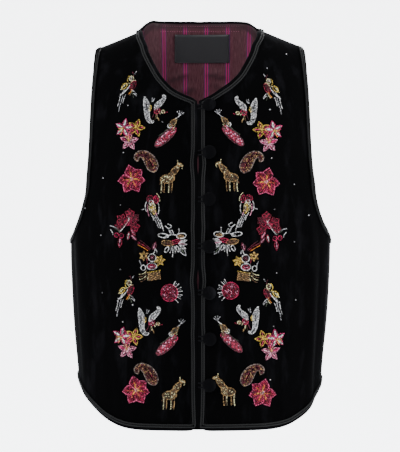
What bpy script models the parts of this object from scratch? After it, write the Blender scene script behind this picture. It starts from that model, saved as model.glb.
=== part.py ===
"""Sleeveless velvet vest with raised beaded figures, hollow, as it hangs when it is filled out.

Metres, +Z up. The front faces -Y. The origin lies midway between the two side neck points.
Run it with: blender --background --python part.py
"""

import math

import bmesh
import bpy
import numpy as np
from mathutils import Vector

MM = 0.001

# The form that fills the vest, one row for each height, in millimetres
# height, half width, front depth, back depth
BODY_ROWS = (
    (-580, 173, 118, 107),
    (-500, 175, 116, 103),
    (-430, 181, 115, 97),
    (-340, 186, 120, 99),
    (-299, 188, 122, 102),
    (-200, 178, 119, 107),
    (-100, 172, 108, 101),
    (0, 169, 98, 92),
    (40, 167, 96, 88),
)
HALF_WIDTH, FRONT_DEPTH, BACK_DEPTH = 1, 2, 3
EASE = 20 * MM
SQUARENESS = 2.3
# The left side hangs a little wider than the right, most at SWELL_HEIGHT
SIDE_SWELL = {-1: 0.0, 1: 3.2 * MM}
SWELL_HEIGHT = -385 * MM
SWELL_REACH = 110 * MM

# Shoulders: cloth springs in at SPRING_Z and folds over a ridge between neck and tip
SPRING_Z = -170 * MM
LOWER_SPAN = 170 * MM
NECK_HALF = 86 * MM
TIP_HALF = 149.5 * MM
SHOULDER_DROP = 26 * MM
SHOULDER_BOW = 0.05
NECK_SLOPE = 0.6
NAPE_SWELL = 102 * MM

# Cut edges in front view, one row for each point, in millimetres: across, height
ARMHOLE = (
    (188.0, -301),
    (184.5, -298),
    (178.0, -288),
    (170.5, -271),
    (165.0, -254),
    (161.5, -237),
    (158.3, -203),
    (156.0, -168),
    (153.8, -99),
    (151.8, -62),
)
ARMHOLE_KNEE = 3
FRONT_NECK = (
    (20.0, -102.5),
    (40.2, -94),
    (58.7, -77),
    (71.4, -55),
    (81.8, -28),
)
FRONT_NECK_KNEE = 2
BACK_NECK = (
    (30, 20.4),
    (52, 20.0),
    (66, 17.5),
    (77, 12.0),
)
BACK_NECK_KNEE = 2
CENTRE_TOP = -109.5 * MM
NAPE_TOP = 20.4 * MM
CENTRE_EDGE = {-1: -6.3 * MM, 1: 0.9 * MM}
FRONT_HEM = -563.5 * MM
BACK_HEM = -548 * MM
HEM_SIDE = {-1: -499 * MM, 1: -504 * MM}
# The hem is level for HEM_LEVEL of the way round from the centre, then rises in a soft arch
HEM_LEVEL = 0.3
HEM_SOFTNESS = {-1: 1.5, 1: 1.95}

# Net of each panel: columns from the centre to the side, rows from the hem to the shoulder.
# Under the yoke row the net starts at the centre, above it beside the neck.
NECK_COLUMNS = 5
SHOULDER_COLUMNS = 6
UNDERARM_COLUMNS = 4
LOWER_ROWS = 9
CHEST_ROWS = 7
YOKE_ROWS = 8
ARMHOLE_COLUMN = NECK_COLUMNS + SHOULDER_COLUMNS
COLUMNS = ARMHOLE_COLUMN + UNDERARM_COLUMNS
YOKE_ROW = LOWER_ROWS + CHEST_ROWS
ROWS = YOKE_ROW + YOKE_ROWS
CROWDING = 0.4

# Soft folds, one row for each: side, on the back, degrees from the centre, top, bottom,
# half width in degrees, rise (a trough is below zero); lengths in millimetres
FOLDS = (
    (-1, False, 55, -330, -620, 6.0, -2.6),
    (-1, False, 69, -290, -620, 6.0, 2.4),
    (1, False, 47, -340, -620, 6.0, -2.2),
    (1, False, 60, -270, -620, 5.5, 2.6),
    (1, False, 72, -310, -620, 6.0, -2.8),
    (-1, True, 20, -260, -640, 7.0, 2.6),
    (1, True, 14, -300, -640, 6.0, -2.4),
    (1, True, 38, -240, -640, 7.0, 3.0),
    (-1, True, 46, -280, -640, 7.0, -3.0),
    (1, True, 64, -300, -640, 6.0, -2.4),
    (-1, True, 68, -320, -640, 6.0, 2.2),
)

# Cloth
FRONT_WALL = 3.0 * MM
SHELL_WALL = 1.7 * MM
LINING_WALL = 1.0 * MM
SEAM = 0.3 * MM
BACK_LAYERS = SHELL_WALL + SEAM + LINING_WALL

# Velvet binding rolled over every edge
BINDING_WALL = 1.2 * MM
BINDING_OUTSIDE = 7.5 * MM
BINDING_INSIDE = 3.0 * MM
BINDING_REACH = 1.6 * MM
BINDING_LIFT = 0.5 * MM
WIDEST_MITRE = 1.5

# Buttons and loops
BUTTONS = 7
BUTTON_X = 13.8 * MM
TOP_BUTTON_Z = -118.5 * MM
LOWEST_BUTTON_Z = -502 * MM
BUTTON_FACETS = 12
# Outline of a button from the crown to the foot of its shank: radius, height over the cloth
BUTTON_PROFILE = (
    (0.0, 10.4),
    (4.5, 9.9),
    (8.2, 8.2),
    (9.5, 6.6),
    (8.8, 5.4),
    (2.2, 5.4),
    (2.2, 0.4),
    (0.0, 0.4),
)
CORD_RADIUS = 1.2 * MM
LOOP_BEND = 3.9 * MM
LOOP_TURNS = 4
LOOP_SWEEP = 54
# One strand of a loop, from the right front's edge to the bend: across, over the cloth, apart
LOOP_STRAND = (
    (-4.35, -0.8, 2.8),
    (-3.2, -0.8, 2.8),
    (-1.6, 1.4, 2.8),
    (0.2, 3.1, 2.9),
    (11.6, 3.8, 3.7),
)

# Label on the back lining, as seen from the front
LABEL_LEFT, LABEL_RIGHT = -39 * MM, 45 * MM
LABEL_BOTTOM, LABEL_TOP = -36.5 * MM, 4.5 * MM
LABEL_WALL = 0.7 * MM
LABEL_SEAT = 1.2 * MM
LABEL_COLUMNS, LABEL_ROWS = 6, 3

# Beaded figures: what each is made of, as ovals in millimetres from its middle
# across towards the centre front, up, half width, half height, lean in degrees
FIGURES = {
    "parrot": ((1, 3, 9, 14, -12), (4, 17, 7, 8, 0), (-4, 0, 6, 15, -18), (-6, -19, 4, 11, -8)),
    "swallow": ((0, -2, 5, 12, 20), (-10, 9, 5, 12, 40), (9, 10, 5, 12, -35), (5, -13, 5, 9, 15)),
    "peacock": ((9, 21, 5, 7, 0), (7, 9, 6, 11, 15), (-1, -4, 10, 14, -25), (-9, -16, 8, 13, -30)),
    "lily": ((-9, 8, 8, 12, 35), (9, 9, 8, 12, -35), (1, -9, 8, 12, 5)),
    "paisley": ((2, -3, 12, 13, 0), (-6, 8, 7, 10, 30)),
    "hibiscus": ((0, 11, 9, 8, 0), (10, 4, 8, 9, 20), (7, -8, 8, 9, -30), (-7, -8, 8, 9, 30),
                 (-10, 4, 8, 9, -20)),
    "giraffe": ((-4, -2, 10, 7, -12), (6, 9, 4, 12, -20), (11, 18, 5, 4, 20), (4, -14, 4, 9, 0),
                (-10, -13, 4, 9, 5)),
    "budgie": ((1, 3, 8, 12, -8), (3, 15, 6, 7, 0), (-3, -15, 4, 11, -8)),
    "daisy": ((0, 12, 7, 11, 0), (10, 3, 9, 7, 12), (6, -10, 6, 11, -30), (-6, -10, 6, 11, 30),
              (-10, 3, 9, 7, -12)),
    "basket": ((0, 19, 8, 9, 0), (-8, 9, 8, 9, 0), (8, 9, 8, 9, 0), (0, -10, 13, 10, 0),
               (0, -24, 9, 4, 0)),
    "pompom": ((0, 0, 13, 13, 0),),
}
# Where they sit on each front, in millimetres: figure, across from the centre, height
FIGURE_ROWS = (
    ("parrot", 103, -96),
    ("swallow", 62, -123),
    ("peacock", 42, -149),
    ("lily", 96, -158),
    ("paisley", 72, -190),
    ("hibiscus", 93, -220),
    ("giraffe", 38, -215),
    ("budgie", 61, -263),
    ("daisy", 35, -301),
    ("basket", 70, -333),
    ("parrot", 104, -381),
    ("pompom", 40, -374),
    ("swallow", 67, -414),
    ("peacock", 40, -435),
    ("lily", 99, -448),
    ("paisley", 72, -485),
    ("hibiscus", 88, -513),
)
FIGURE_POINTS = 20
FIGURE_SEAT = 0.7 * MM
FIGURE_RIM = 1.5 * MM
FIGURE_CROWN = 2.4 * MM
FIGURE_TAPER = 0.9
FIGURE_WAIST = 0.35

VELVET = (0.010, 0.010, 0.012)
BINDING_VELVET = (0.014, 0.014, 0.016)
LINING_CLOTH = (0.16, 0.035, 0.055)
LABEL_CLOTH = (0.012, 0.012, 0.013)
FIGURE_COLOURS = {
    "parrot": (0.75, 0.60, 0.22),
    "swallow": (0.80, 0.78, 0.74),
    "peacock": (0.70, 0.30, 0.42),
    "lily": (0.82, 0.66, 0.62),
    "paisley": (0.45, 0.10, 0.12),
    "hibiscus": (0.68, 0.10, 0.16),
    "giraffe": (0.70, 0.50, 0.20),
    "budgie": (0.82, 0.72, 0.45),
    "daisy": (0.72, 0.66, 0.60),
    "basket": (0.66, 0.42, 0.20),
    "pompom": (0.80, 0.42, 0.52),
}

BODY_TABLE = np.array(BODY_ROWS) * MM


def body_size(z, column):
    """One size of the filling form at height z, eased over a short span."""
    samples = z + np.linspace(-EASE, EASE, 7)
    return float(np.mean(np.interp(samples, BODY_TABLE[:, 0], BODY_TABLE[:, column])))


def signed_power(value, power):
    return math.copysign(abs(value) ** power, value)


def ridge(x, back):
    """Height of the line that the cloth folds over, from the neck to the shoulder tip."""
    beyond = (abs(x) - NECK_HALF) / (TIP_HALF - NECK_HALF)
    if beyond >= 0:
        return -SHOULDER_DROP * beyond * (1 + SHOULDER_BOW * (1 - beyond))
    if back:
        return NAPE_SWELL * (1 - (x / NECK_HALF) ** 2)
    return NECK_SLOPE * (NECK_HALF - abs(x))


def body_point(angle, lift, back):
    """Point of the form on its +X half: angle runs round from the centre, lift runs up."""
    across = signed_power(math.sin(angle), 2 / SQUARENESS)
    around = signed_power(math.cos(angle), 2 / SQUARENESS)
    if lift <= 0:
        z = SPRING_Z + lift * LOWER_SPAN
        x = body_size(z, HALF_WIDTH) * across
        fold_over = 1.0
    else:
        z = SPRING_Z
        for _ in range(6):
            x = body_size(z, HALF_WIDTH) * across
            z = SPRING_Z + (ridge(x, back) - SPRING_Z) * math.sin(lift)
        fold_over = math.cos(lift)
    depth = body_size(z, BACK_DEPTH if back else FRONT_DEPTH) * around * fold_over
    return Vector((x, depth if back else -depth, z))


def body_place(x, z, back):
    """Angle and lift of the point that a front view shows at x, z."""
    reach = min(abs(x) / body_size(z, HALF_WIDTH), 1.0)
    angle = math.copysign(math.asin(reach ** (SQUARENESS / 2)), x)
    if z <= SPRING_Z:
        return Vector((angle, (z - SPRING_Z) / LOWER_SPAN))
    rise = min((z - SPRING_Z) / (ridge(x, back) - SPRING_Z), 1.0)
    return Vector((angle, math.asin(rise)))


def side_swell(angle, z, side):
    """How much farther out one side hangs at one place."""
    away = (z - SWELL_HEIGHT) / SWELL_REACH
    return SIDE_SWELL[side] * abs(math.sin(angle)) ** 3 * math.exp(-away * away)


def fold_rise(angle, z, side, back):
    """How far the soft folds push the cloth out, or in, at one place."""
    rise = 0.0
    for fold_side, on_back, centre, top, bottom, half_width, height in FOLDS:
        if fold_side != side or on_back != back:
            continue
        away = (math.degrees(angle) - centre) / half_width
        along = (top * MM - z) / ((top - bottom) * MM)
        if 0 < along < 1:
            rise += height * MM * math.exp(-away * away) * math.sin(math.pi * along) ** 0.7
    return rise


def cloth_point(place, side, back, offset=0.0):
    """Point of a panel, moved out by offset, and which way is out there."""
    angle, lift = place
    step = 1e-4
    point = body_point(angle, lift, back)
    east = body_point(angle + step, lift, back) - body_point(angle - step, lift, back)
    north = body_point(angle, lift + step, back) - body_point(angle, lift - step, back)
    out = east.cross(north).normalized()
    if back:
        out.negate()
    point += out * (offset + fold_rise(angle, point.z, side, back))
    point.x += side_swell(angle, point.z, side)
    mirror = Vector((side, 1, 1))
    return point * mirror, out * mirror


def smooth_run(places, count, back, crowd=0.0):
    """Steps along a soft curve through places, even but for crowd, which draws them to its end."""
    padded = [places[0] * 2 - places[1]] + places + [places[-1] * 2 - places[-2]]
    fine = []
    for before, start, end, after in zip(padded, padded[1:], padded[2:], padded[3:]):
        for t in np.linspace(0, 1, 12, endpoint=False):
            fine.append(0.5 * (2 * start + (end - before) * t
                               + (2 * before - 5 * start + 4 * end - after) * t ** 2
                               + (3 * start - before - 3 * end + after) * t ** 3))
    fine.append(places[-1])
    points = [body_point(place[0], place[1], back) for place in fine]
    lengths = np.cumsum([0.0] + [(b - a).length for a, b in zip(points, points[1:])])
    share = np.linspace(0, 1, count + 1)
    share = (1 - crowd) * share + crowd * np.sin(np.pi / 2 * share)
    wanted = share * lengths[-1]
    angles = np.interp(wanted, lengths, [place[0] for place in fine])
    lifts = np.interp(wanted, lengths, [place[1] for place in fine])
    return [Vector(pair) for pair in zip(angles, lifts)]


def blend_patch(bottom, top, left, right):
    """Places inside four edges, each blended from all of them."""
    columns, rows = len(bottom) - 1, len(left) - 1
    patch = {}
    for i in range(columns + 1):
        for j in range(rows + 1):
            u, v = i / columns, j / rows
            sides = left[j] * (1 - u) + right[j] * u
            ends = bottom[i] * (1 - v) + top[i] * v
            corners = ((bottom[0] * (1 - u) + bottom[-1] * u) * (1 - v)
                       + (top[0] * (1 - u) + top[-1] * u) * v)
            patch[i, j] = sides + ends - corners
    return patch


def hem_rise(share, side):
    """Part of its whole rise that the hem has made at a share of the way round to the side."""
    along = max(share - HEM_LEVEL, 0.0) / (1 - HEM_LEVEL)
    return (along * along * (3 - 2 * along)) ** HEM_SOFTNESS[side]


def panel_net(side, back):
    """Angle and lift of every net point on half of the back, or on a front."""
    seam_angle = math.pi / 2 - (SEAM / 2 / body_size(ARMHOLE[0][1] * MM, BACK_DEPTH)) ** (SQUARENESS / 2)
    seam_lift = math.pi / 2 - SEAM / 2 / body_size(0.0, BACK_DEPTH)
    centre_x = 0.0 if back else side * CENTRE_EDGE[side]
    armhole = [body_place(x * MM, z * MM, back) for x, z in ARMHOLE]
    armhole[0][0] = seam_angle
    armhole.append(body_place(TIP_HALF, ridge(TIP_HALF, back), back))
    armhole[-1][1] = seam_lift
    neck = [body_place(centre_x, NAPE_TOP if back else CENTRE_TOP, back)]
    neck += [body_place(x * MM, z * MM, back) for x, z in (BACK_NECK if back else FRONT_NECK)]
    neck.append(body_place(NECK_HALF, ridge(NECK_HALF, back), back))
    neck[-1][1] = seam_lift
    neck_knee = 1 + (BACK_NECK_KNEE if back else FRONT_NECK_KNEE)

    knee_z = ARMHOLE[ARMHOLE_KNEE][1] * MM
    rising = smooth_run(armhole[ARMHOLE_KNEE:], CHEST_ROWS + YOKE_ROWS, back, CROWDING)
    bust = smooth_run([body_place(centre_x, knee_z, back), rising[0]], ARMHOLE_COLUMN, back)
    underarm = smooth_run(armhole[ARMHOLE_KNEE::-1], UNDERARM_COLUMNS, back)
    low_neck = smooth_run(neck[:neck_knee + 1], NECK_COLUMNS, back)
    steep_neck = smooth_run(neck[neck_knee:], YOKE_ROWS, back)
    yoke = smooth_run([low_neck[-1], rising[CHEST_ROWS]], SHOULDER_COLUMNS, back)
    shoulder = smooth_run([neck[-1], armhole[-1]], SHOULDER_COLUMNS, back)
    centre = smooth_run([bust[0], low_neck[0]], CHEST_ROWS, back)

    net = {}
    chest = blend_patch(bust, low_neck + yoke[1:], centre, rising[:CHEST_ROWS + 1])
    for (i, j), place in chest.items():
        net[i, j + LOWER_ROWS] = place
    above = blend_patch(yoke, shoulder, steep_neck, rising[CHEST_ROWS:])
    for (i, j), place in above.items():
        net[i + NECK_COLUMNS, j + YOKE_ROW] = place
    level = bust + underarm[1:]
    hem_low = BACK_HEM if back else FRONT_HEM
    hem_centre = body_place(centre_x, hem_low, back)
    hem_angles = smooth_run([hem_centre, Vector((seam_angle, hem_centre[1]))], COLUMNS, back)
    for i in range(COLUMNS + 1):
        rise = (HEM_SIDE[side] - hem_low) * hem_rise(i / COLUMNS, side)
        foot = Vector((hem_angles[i][0], (hem_low + rise - SPRING_Z) / LOWER_SPAN))
        for j in range(LOWER_ROWS):
            net[i, j] = foot.lerp(level[i], j / LOWER_ROWS)
        net[i, LOWER_ROWS] = level[i]
    return net


def base_material(name, colour, roughness, metallic=0.0):
    material = bpy.data.materials.new(name)
    material.use_nodes = True
    shader = material.node_tree.nodes["Principled BSDF"]
    shader.inputs["Base Color"].default_value = (*colour, 1.0)
    shader.inputs["Roughness"].default_value = roughness
    shader.inputs["Metallic"].default_value = metallic
    return material


def finish_piece(name, mesh, material, collection):
    """Gives a mesh its object, material, shading and place in the vest's collection."""
    mesh.shade_smooth()
    mesh.set_sharp_from_angle(angle=math.radians(40))
    piece = bpy.data.objects.new(name, mesh)
    mesh.materials.clear()
    mesh.materials.append(material)
    collection.objects.link(piece)
    return piece


def mesh_from(bm, name):
    bmesh.ops.recalc_face_normals(bm, faces=bm.faces[:])
    if bm.calc_volume(signed=True) < 0:
        bmesh.ops.reverse_faces(bm, faces=bm.faces[:])
    mesh = bpy.data.meshes.new(name)
    bm.to_mesh(mesh)
    bm.free()
    return mesh


def cloth_wall(name, columns, rows, has_cell, outer, inner):
    """A flat slab of cells, pulled onto its outer and inner points."""
    bm = bmesh.new()
    bmesh.ops.create_grid(bm, x_segments=columns, y_segments=rows, size=0.5)
    absent = []
    for face in bm.faces:
        middle = face.calc_center_median()
        cell = (int((middle.x + 0.5) * columns), int((middle.y + 0.5) * rows))
        if not has_cell(*cell):
            absent.append(face)
    bmesh.ops.delete(bm, geom=absent, context="FACES")
    lower = set(bm.verts)
    bmesh.ops.extrude_face_region(bm, geom=bm.faces[:])
    for vert in bm.verts:
        knot = (round((vert.co.x + 0.5) * columns), round((vert.co.y + 0.5) * rows))
        vert.co = inner[knot] if vert in lower else outer[knot]
    return mesh_from(bm, name)


def loft(name, sections, closed):
    """Joins one ring of points to the next, into a tube that meets itself or has two ends."""
    bm = bmesh.new()
    rings = [[bm.verts.new(point) for point in section] for section in sections]
    size = len(rings[0])
    following = rings[1:] + rings[:1] if closed else rings[1:]
    for ring, after in zip(rings, following):
        for k in range(size):
            bm.faces.new((ring[k], ring[(k + 1) % size], after[(k + 1) % size], after[k]))
    if not closed:
        for ring in (rings[0], rings[-1]):
            cap = bm.faces.new(ring)
            cap.normal_update()
            bmesh.ops.triangulate(bm, faces=[cap], ngon_method="EAR_CLIP")
    return mesh_from(bm, name)


def panel_points(net, side, back, depth):
    """Points of a panel's net, each moved in by depth, and which way is out at each."""
    points, outs = {}, {}
    for knot, place in net.items():
        points[knot], outs[knot] = cloth_point(place, side, back, -depth)
    return points, outs


def front_has_cell(i, j):
    if j < LOWER_ROWS:
        return True
    return i < ARMHOLE_COLUMN and (j < YOKE_ROW or i >= NECK_COLUMNS)


def back_has_cell(i, j):
    return front_has_cell(i - COLUMNS if i >= COLUMNS else COLUMNS - 1 - i, j)


def mirrored(left_half, right_half):
    """One net over both halves of the back, numbered from the -X side."""
    whole = {(COLUMNS - i, j): point for (i, j), point in left_half.items()}
    whole.update({(COLUMNS + i, j): point for (i, j), point in right_half.items()})
    return whole


def edge_station(route, index, inner_knot, panel):
    """Where a binding crosses a panel's edge: edge points, inward runs and outward run."""
    outer, inner, outs = panel
    knot = route[index]
    before = outer[route[index - 1]] if index else None
    after = outer[route[index + 1]] if index + 1 < len(route) else None
    tangent = ((after or outer[knot]) - (before or outer[knot])).normalized()
    runs = []
    for points in (outer, inner):
        run = (points[inner_knot] - points[knot]).normalized()
        square = (run - tangent * run.dot(tangent)).length
        runs.append(run / max(square, 1 / WIDEST_MITRE))
    outward = -(runs[0] - tangent * runs[0].dot(tangent))
    outward -= outs[knot] * outward.dot(outs[knot])
    return (outer[knot], inner[knot], outs[knot], runs[0], runs[1], outward.normalized())


def seam_station(knot, inner_knot, panel):
    """The same at the end of a route, where the section lies along the seam."""
    outer, inner, outs = panel
    runs = [(points[inner_knot] - points[knot]).normalized() for points in (outer, inner)]
    outward = -runs[0]
    outward -= outs[knot] * outward.dot(outs[knot])
    return (outer[knot], inner[knot], outs[knot], runs[0], runs[1], outward.normalized())


def mitre_station(first, second):
    """The station at a corner, where each edge's run lies along the other edge."""
    outward = (first[5] + second[5]) / (1 + first[5].dot(second[5]))
    return first[:3] + (first[3] + second[3], first[4] + second[4], outward)


def binding_section(station):
    """The rolled strip's ring of points round one place on the edge."""
    outer, inner, out, run, inner_run, outward = station
    middle = (outer + inner) / 2
    half = (outer - inner).length / 2
    low = SEAM + BINDING_LIFT
    rise = SEAM + BINDING_WALL
    return (
        outer + run * BINDING_OUTSIDE + out * low,
        outer + run * BINDING_OUTSIDE + out * (low + BINDING_WALL),
        outer + out * rise,
        middle + outward * BINDING_REACH + out * half,
        middle + outward * BINDING_REACH - out * half,
        inner - out * rise,
        inner + inner_run * BINDING_INSIDE - out * (low + BINDING_WALL),
        inner + inner_run * BINDING_INSIDE - out * low,
        inner + outward * SEAM - out * SEAM,
        outer + outward * SEAM + out * SEAM,
    )


def neck_inward(i, j):
    """The knot inside the neck's edge, for a knot on it, on the +X half."""
    if j == YOKE_ROW:
        return (i + (i == NECK_COLUMNS), j - 1)
    return (i + 1, j)


def front_binding_stations(panel):
    """Round a front: along the hem, up the centre and along the neck."""
    hem = [(i, 0) for i in range(COLUMNS, -1, -1)]
    centre = [(0, j) for j in range(YOKE_ROW + 1)]
    neck = [(i, YOKE_ROW) for i in range(NECK_COLUMNS + 1)]
    neck += [(NECK_COLUMNS, j) for j in range(YOKE_ROW + 1, ROWS + 1)]
    stations = [seam_station(hem[0], (COLUMNS, 1), panel)]
    stations += [edge_station(hem, k, (knot[0], 1), panel) for k, knot in enumerate(hem)][1:-1]
    stations.append(mitre_station(edge_station(hem, COLUMNS, (0, 1), panel),
                                  edge_station(centre, 0, (1, 0), panel)))
    stations += [edge_station(centre, k, (1, k), panel) for k in range(1, YOKE_ROW)]
    stations.append(mitre_station(edge_station(centre, YOKE_ROW, (1, YOKE_ROW), panel),
                                  edge_station(neck, 0, (0, YOKE_ROW - 1), panel)))
    stations += [edge_station(neck, k, neck_inward(*knot), panel) for k, knot in enumerate(neck)][1:-1]
    stations.append(seam_station(neck[-1], neck_inward(*neck[-1]), panel))
    return stations


def half_armhole_stations(panel):
    """From the underarm seam up to the shoulder seam, on one panel."""
    route = [(i, LOWER_ROWS) for i in range(COLUMNS, ARMHOLE_COLUMN, -1)]
    route += [(ARMHOLE_COLUMN, j) for j in range(LOWER_ROWS, ROWS + 1)]
    stations = [seam_station(route[0], (COLUMNS, LOWER_ROWS - 1), panel)]
    for k, (i, j) in list(enumerate(route))[1:-1]:
        if j == LOWER_ROWS:
            toward = (i - (i == ARMHOLE_COLUMN), j - 1)
        else:
            toward = (i - 1, j)
        stations.append(edge_station(route, k, toward, panel))
    stations.append(seam_station(route[-1], (ARMHOLE_COLUMN - 1, ROWS), panel))
    return stations


def armhole_binding_stations(front_panel, back_panel):
    """All round an armhole, with one station on each seam."""
    front = half_armhole_stations(front_panel)
    back = half_armhole_stations(back_panel)

    def joined(a, b):
        return tuple((p + q) / 2 for p, q in zip(a, b))
    return [joined(front[0], back[0])] + front[1:-1] + [joined(front[-1], back[-1])] + back[-2:0:-1]


def back_hem_stations(panel):
    route = [(i, 0) for i in range(2 * COLUMNS + 1)]
    stations = [seam_station(route[0], (0, 1), panel)]
    stations += [edge_station(route, k, (knot[0], 1), panel) for k, knot in enumerate(route)][1:-1]
    stations.append(seam_station(route[-1], (2 * COLUMNS, 1), panel))
    return stations


def back_neck_stations(panel):
    """Round the back's neck, from one shoulder seam to the other, on the whole back's net."""
    rise = [(NECK_COLUMNS, j) for j in range(ROWS, YOKE_ROW, -1)]
    half = rise + [(i, YOKE_ROW) for i in range(NECK_COLUMNS, -1, -1)]
    signed = [(-i, j) for i, j in half] + half[-2::-1]
    route = [(COLUMNS + i, j) for i, j in signed]
    stations = []
    for k, (i, j) in enumerate(signed):
        inside, row = neck_inward(abs(i), j)
        toward = (COLUMNS + (inside if i > 0 else -inside), row)
        if k in (0, len(route) - 1):
            stations.append(seam_station(route[k], toward, panel))
        else:
            stations.append(edge_station(route, k, toward, panel))
    return stations


def figure_outline(ovals, count):
    """Reach of a figure's edge from its middle, at even angles, over all of its ovals."""
    reaches = []
    for turn in np.linspace(0, 2 * math.pi, count, endpoint=False):
        ray = Vector((math.cos(turn), math.sin(turn)))
        reach = 0.0
        for across, up, half_width, half_height, lean in ovals:
            c, s = math.cos(math.radians(lean)), math.sin(math.radians(lean))
            start = Vector((-(across * c + up * s) / half_width, (across * s - up * c) / half_height))
            way = Vector(((ray.x * c + ray.y * s) / half_width, (ray.y * c - ray.x * s) / half_height))
            a, b, c0 = way.dot(way), start.dot(way), start.dot(start) - 1
            inside = b * b - a * c0
            if inside > 0:
                reach = max(reach, (-b + math.sqrt(inside)) / a)
        reaches.append(reach * MM)
    lowest = FIGURE_WAIST * max(reaches)
    return [max(reach, lowest) for reach in reaches]


def beaded_figure(name, kind, side, across, height):
    """A raised figure, made from the front's own points and moved out."""
    reaches = figure_outline(FIGURES[kind], FIGURE_POINTS)
    bm = bmesh.new()
    bmesh.ops.create_cone(bm, cap_ends=True, cap_tris=True, segments=FIGURE_POINTS,
                          radius1=1.0, radius2=FIGURE_TAPER, depth=2.0)
    for vert in bm.verts:
        radius = math.hypot(vert.co.x, vert.co.y)
        top = vert.co.z > 0
        right = up = 0.0
        offset = FIGURE_CROWN if top else FIGURE_SEAT
        if radius > 0.5:
            turn = math.atan2(vert.co.y, vert.co.x)
            reach = reaches[round(turn / (2 * math.pi) * FIGURE_POINTS) % FIGURE_POINTS] * radius
            right, up = -math.cos(turn) * reach, math.sin(turn) * reach
            offset = FIGURE_RIM if top else FIGURE_SEAT
        place = body_place(across + right, height + up, False)
        vert.co = cloth_point(place, side, False, offset)[0]
    return mesh_from(bm, name)


def button_frame(z):
    """Seat of a button on the left front, with its own across, up and outward directions."""
    seat, out = cloth_point(body_place(BUTTON_X, z, False), 1, False)
    across = Vector((1, 0, 0))
    across = (across - out * across.dot(out)).normalized()
    return seat, across, out.cross(across), out


def button_mesh(name, z):
    """A covered dome on its shank: the profile is turned about the button's own axis."""
    seat, across, up, out = button_frame(z)
    bm = bmesh.new()
    profile = [bm.verts.new((radius * MM, 0, height * MM)) for radius, height in BUTTON_PROFILE]
    edges = [bm.edges.new(pair) for pair in zip(profile, profile[1:])]
    bmesh.ops.spin(bm, geom=profile + edges, cent=(0, 0, 0), axis=(0, 0, 1), angle=2 * math.pi,
                   steps=BUTTON_FACETS, use_merge=True)
    bmesh.ops.remove_doubles(bm, verts=bm.verts[:], dist=0.01 * MM)
    for vert in bm.verts:
        vert.co = seat + across * vert.co.x + up * vert.co.y + out * vert.co.z
    return mesh_from(bm, name)


def loop_object(name, z, material, collection):
    """A doubled cord from the right front's edge, round the button's shank and back."""
    seat, across, up, out = button_frame(z)

    def local(x, lift, apart):
        return seat + across * (x - BUTTON_X) + out * lift + up * apart
    strand = [(x * MM, lift * MM, apart * MM) for x, lift, apart in LOOP_STRAND]
    bend_lift = strand[-1][1]
    path = [local(*row) for row in strand]
    for turn in np.linspace(LOOP_SWEEP, -LOOP_SWEEP, LOOP_TURNS):
        angle = math.radians(turn)
        path.append(local(BUTTON_X + LOOP_BEND * math.cos(angle), bend_lift, LOOP_BEND * math.sin(angle)))
    path += [local(x, lift, -apart) for x, lift, apart in reversed(strand)]
    curve = bpy.data.curves.new(name, "CURVE")
    curve.dimensions = "3D"
    curve.bevel_depth = CORD_RADIUS
    curve.bevel_resolution = 1
    curve.use_fill_caps = True
    spline = curve.splines.new("POLY")
    spline.points.add(len(path) - 1)
    for point, place in zip(spline.points, path):
        point.co = (*place, 1.0)
    curve.materials.append(material)
    loop = bpy.data.objects.new(name, curve)
    collection.objects.link(loop)
    return loop


def label_mesh(name):
    """A thin flat label, laid on the lining's own points and moved in."""
    outer, inner = {}, {}
    for i in range(LABEL_COLUMNS + 1):
        for j in range(LABEL_ROWS + 1):
            x = LABEL_LEFT + (LABEL_RIGHT - LABEL_LEFT) * i / LABEL_COLUMNS
            z = LABEL_BOTTOM + (LABEL_TOP - LABEL_BOTTOM) * j / LABEL_ROWS
            side = 1 if x >= 0 else -1
            place = body_place(abs(x), z, True)
            depth = BACK_LAYERS + LABEL_SEAT
            outer[i, j] = cloth_point(place, side, True, -depth)[0]
            inner[i, j] = cloth_point(place, side, True, -depth - LABEL_WALL)[0]
    return cloth_wall(name, LABEL_COLUMNS, LABEL_ROWS, lambda i, j: True, outer, inner)


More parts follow.
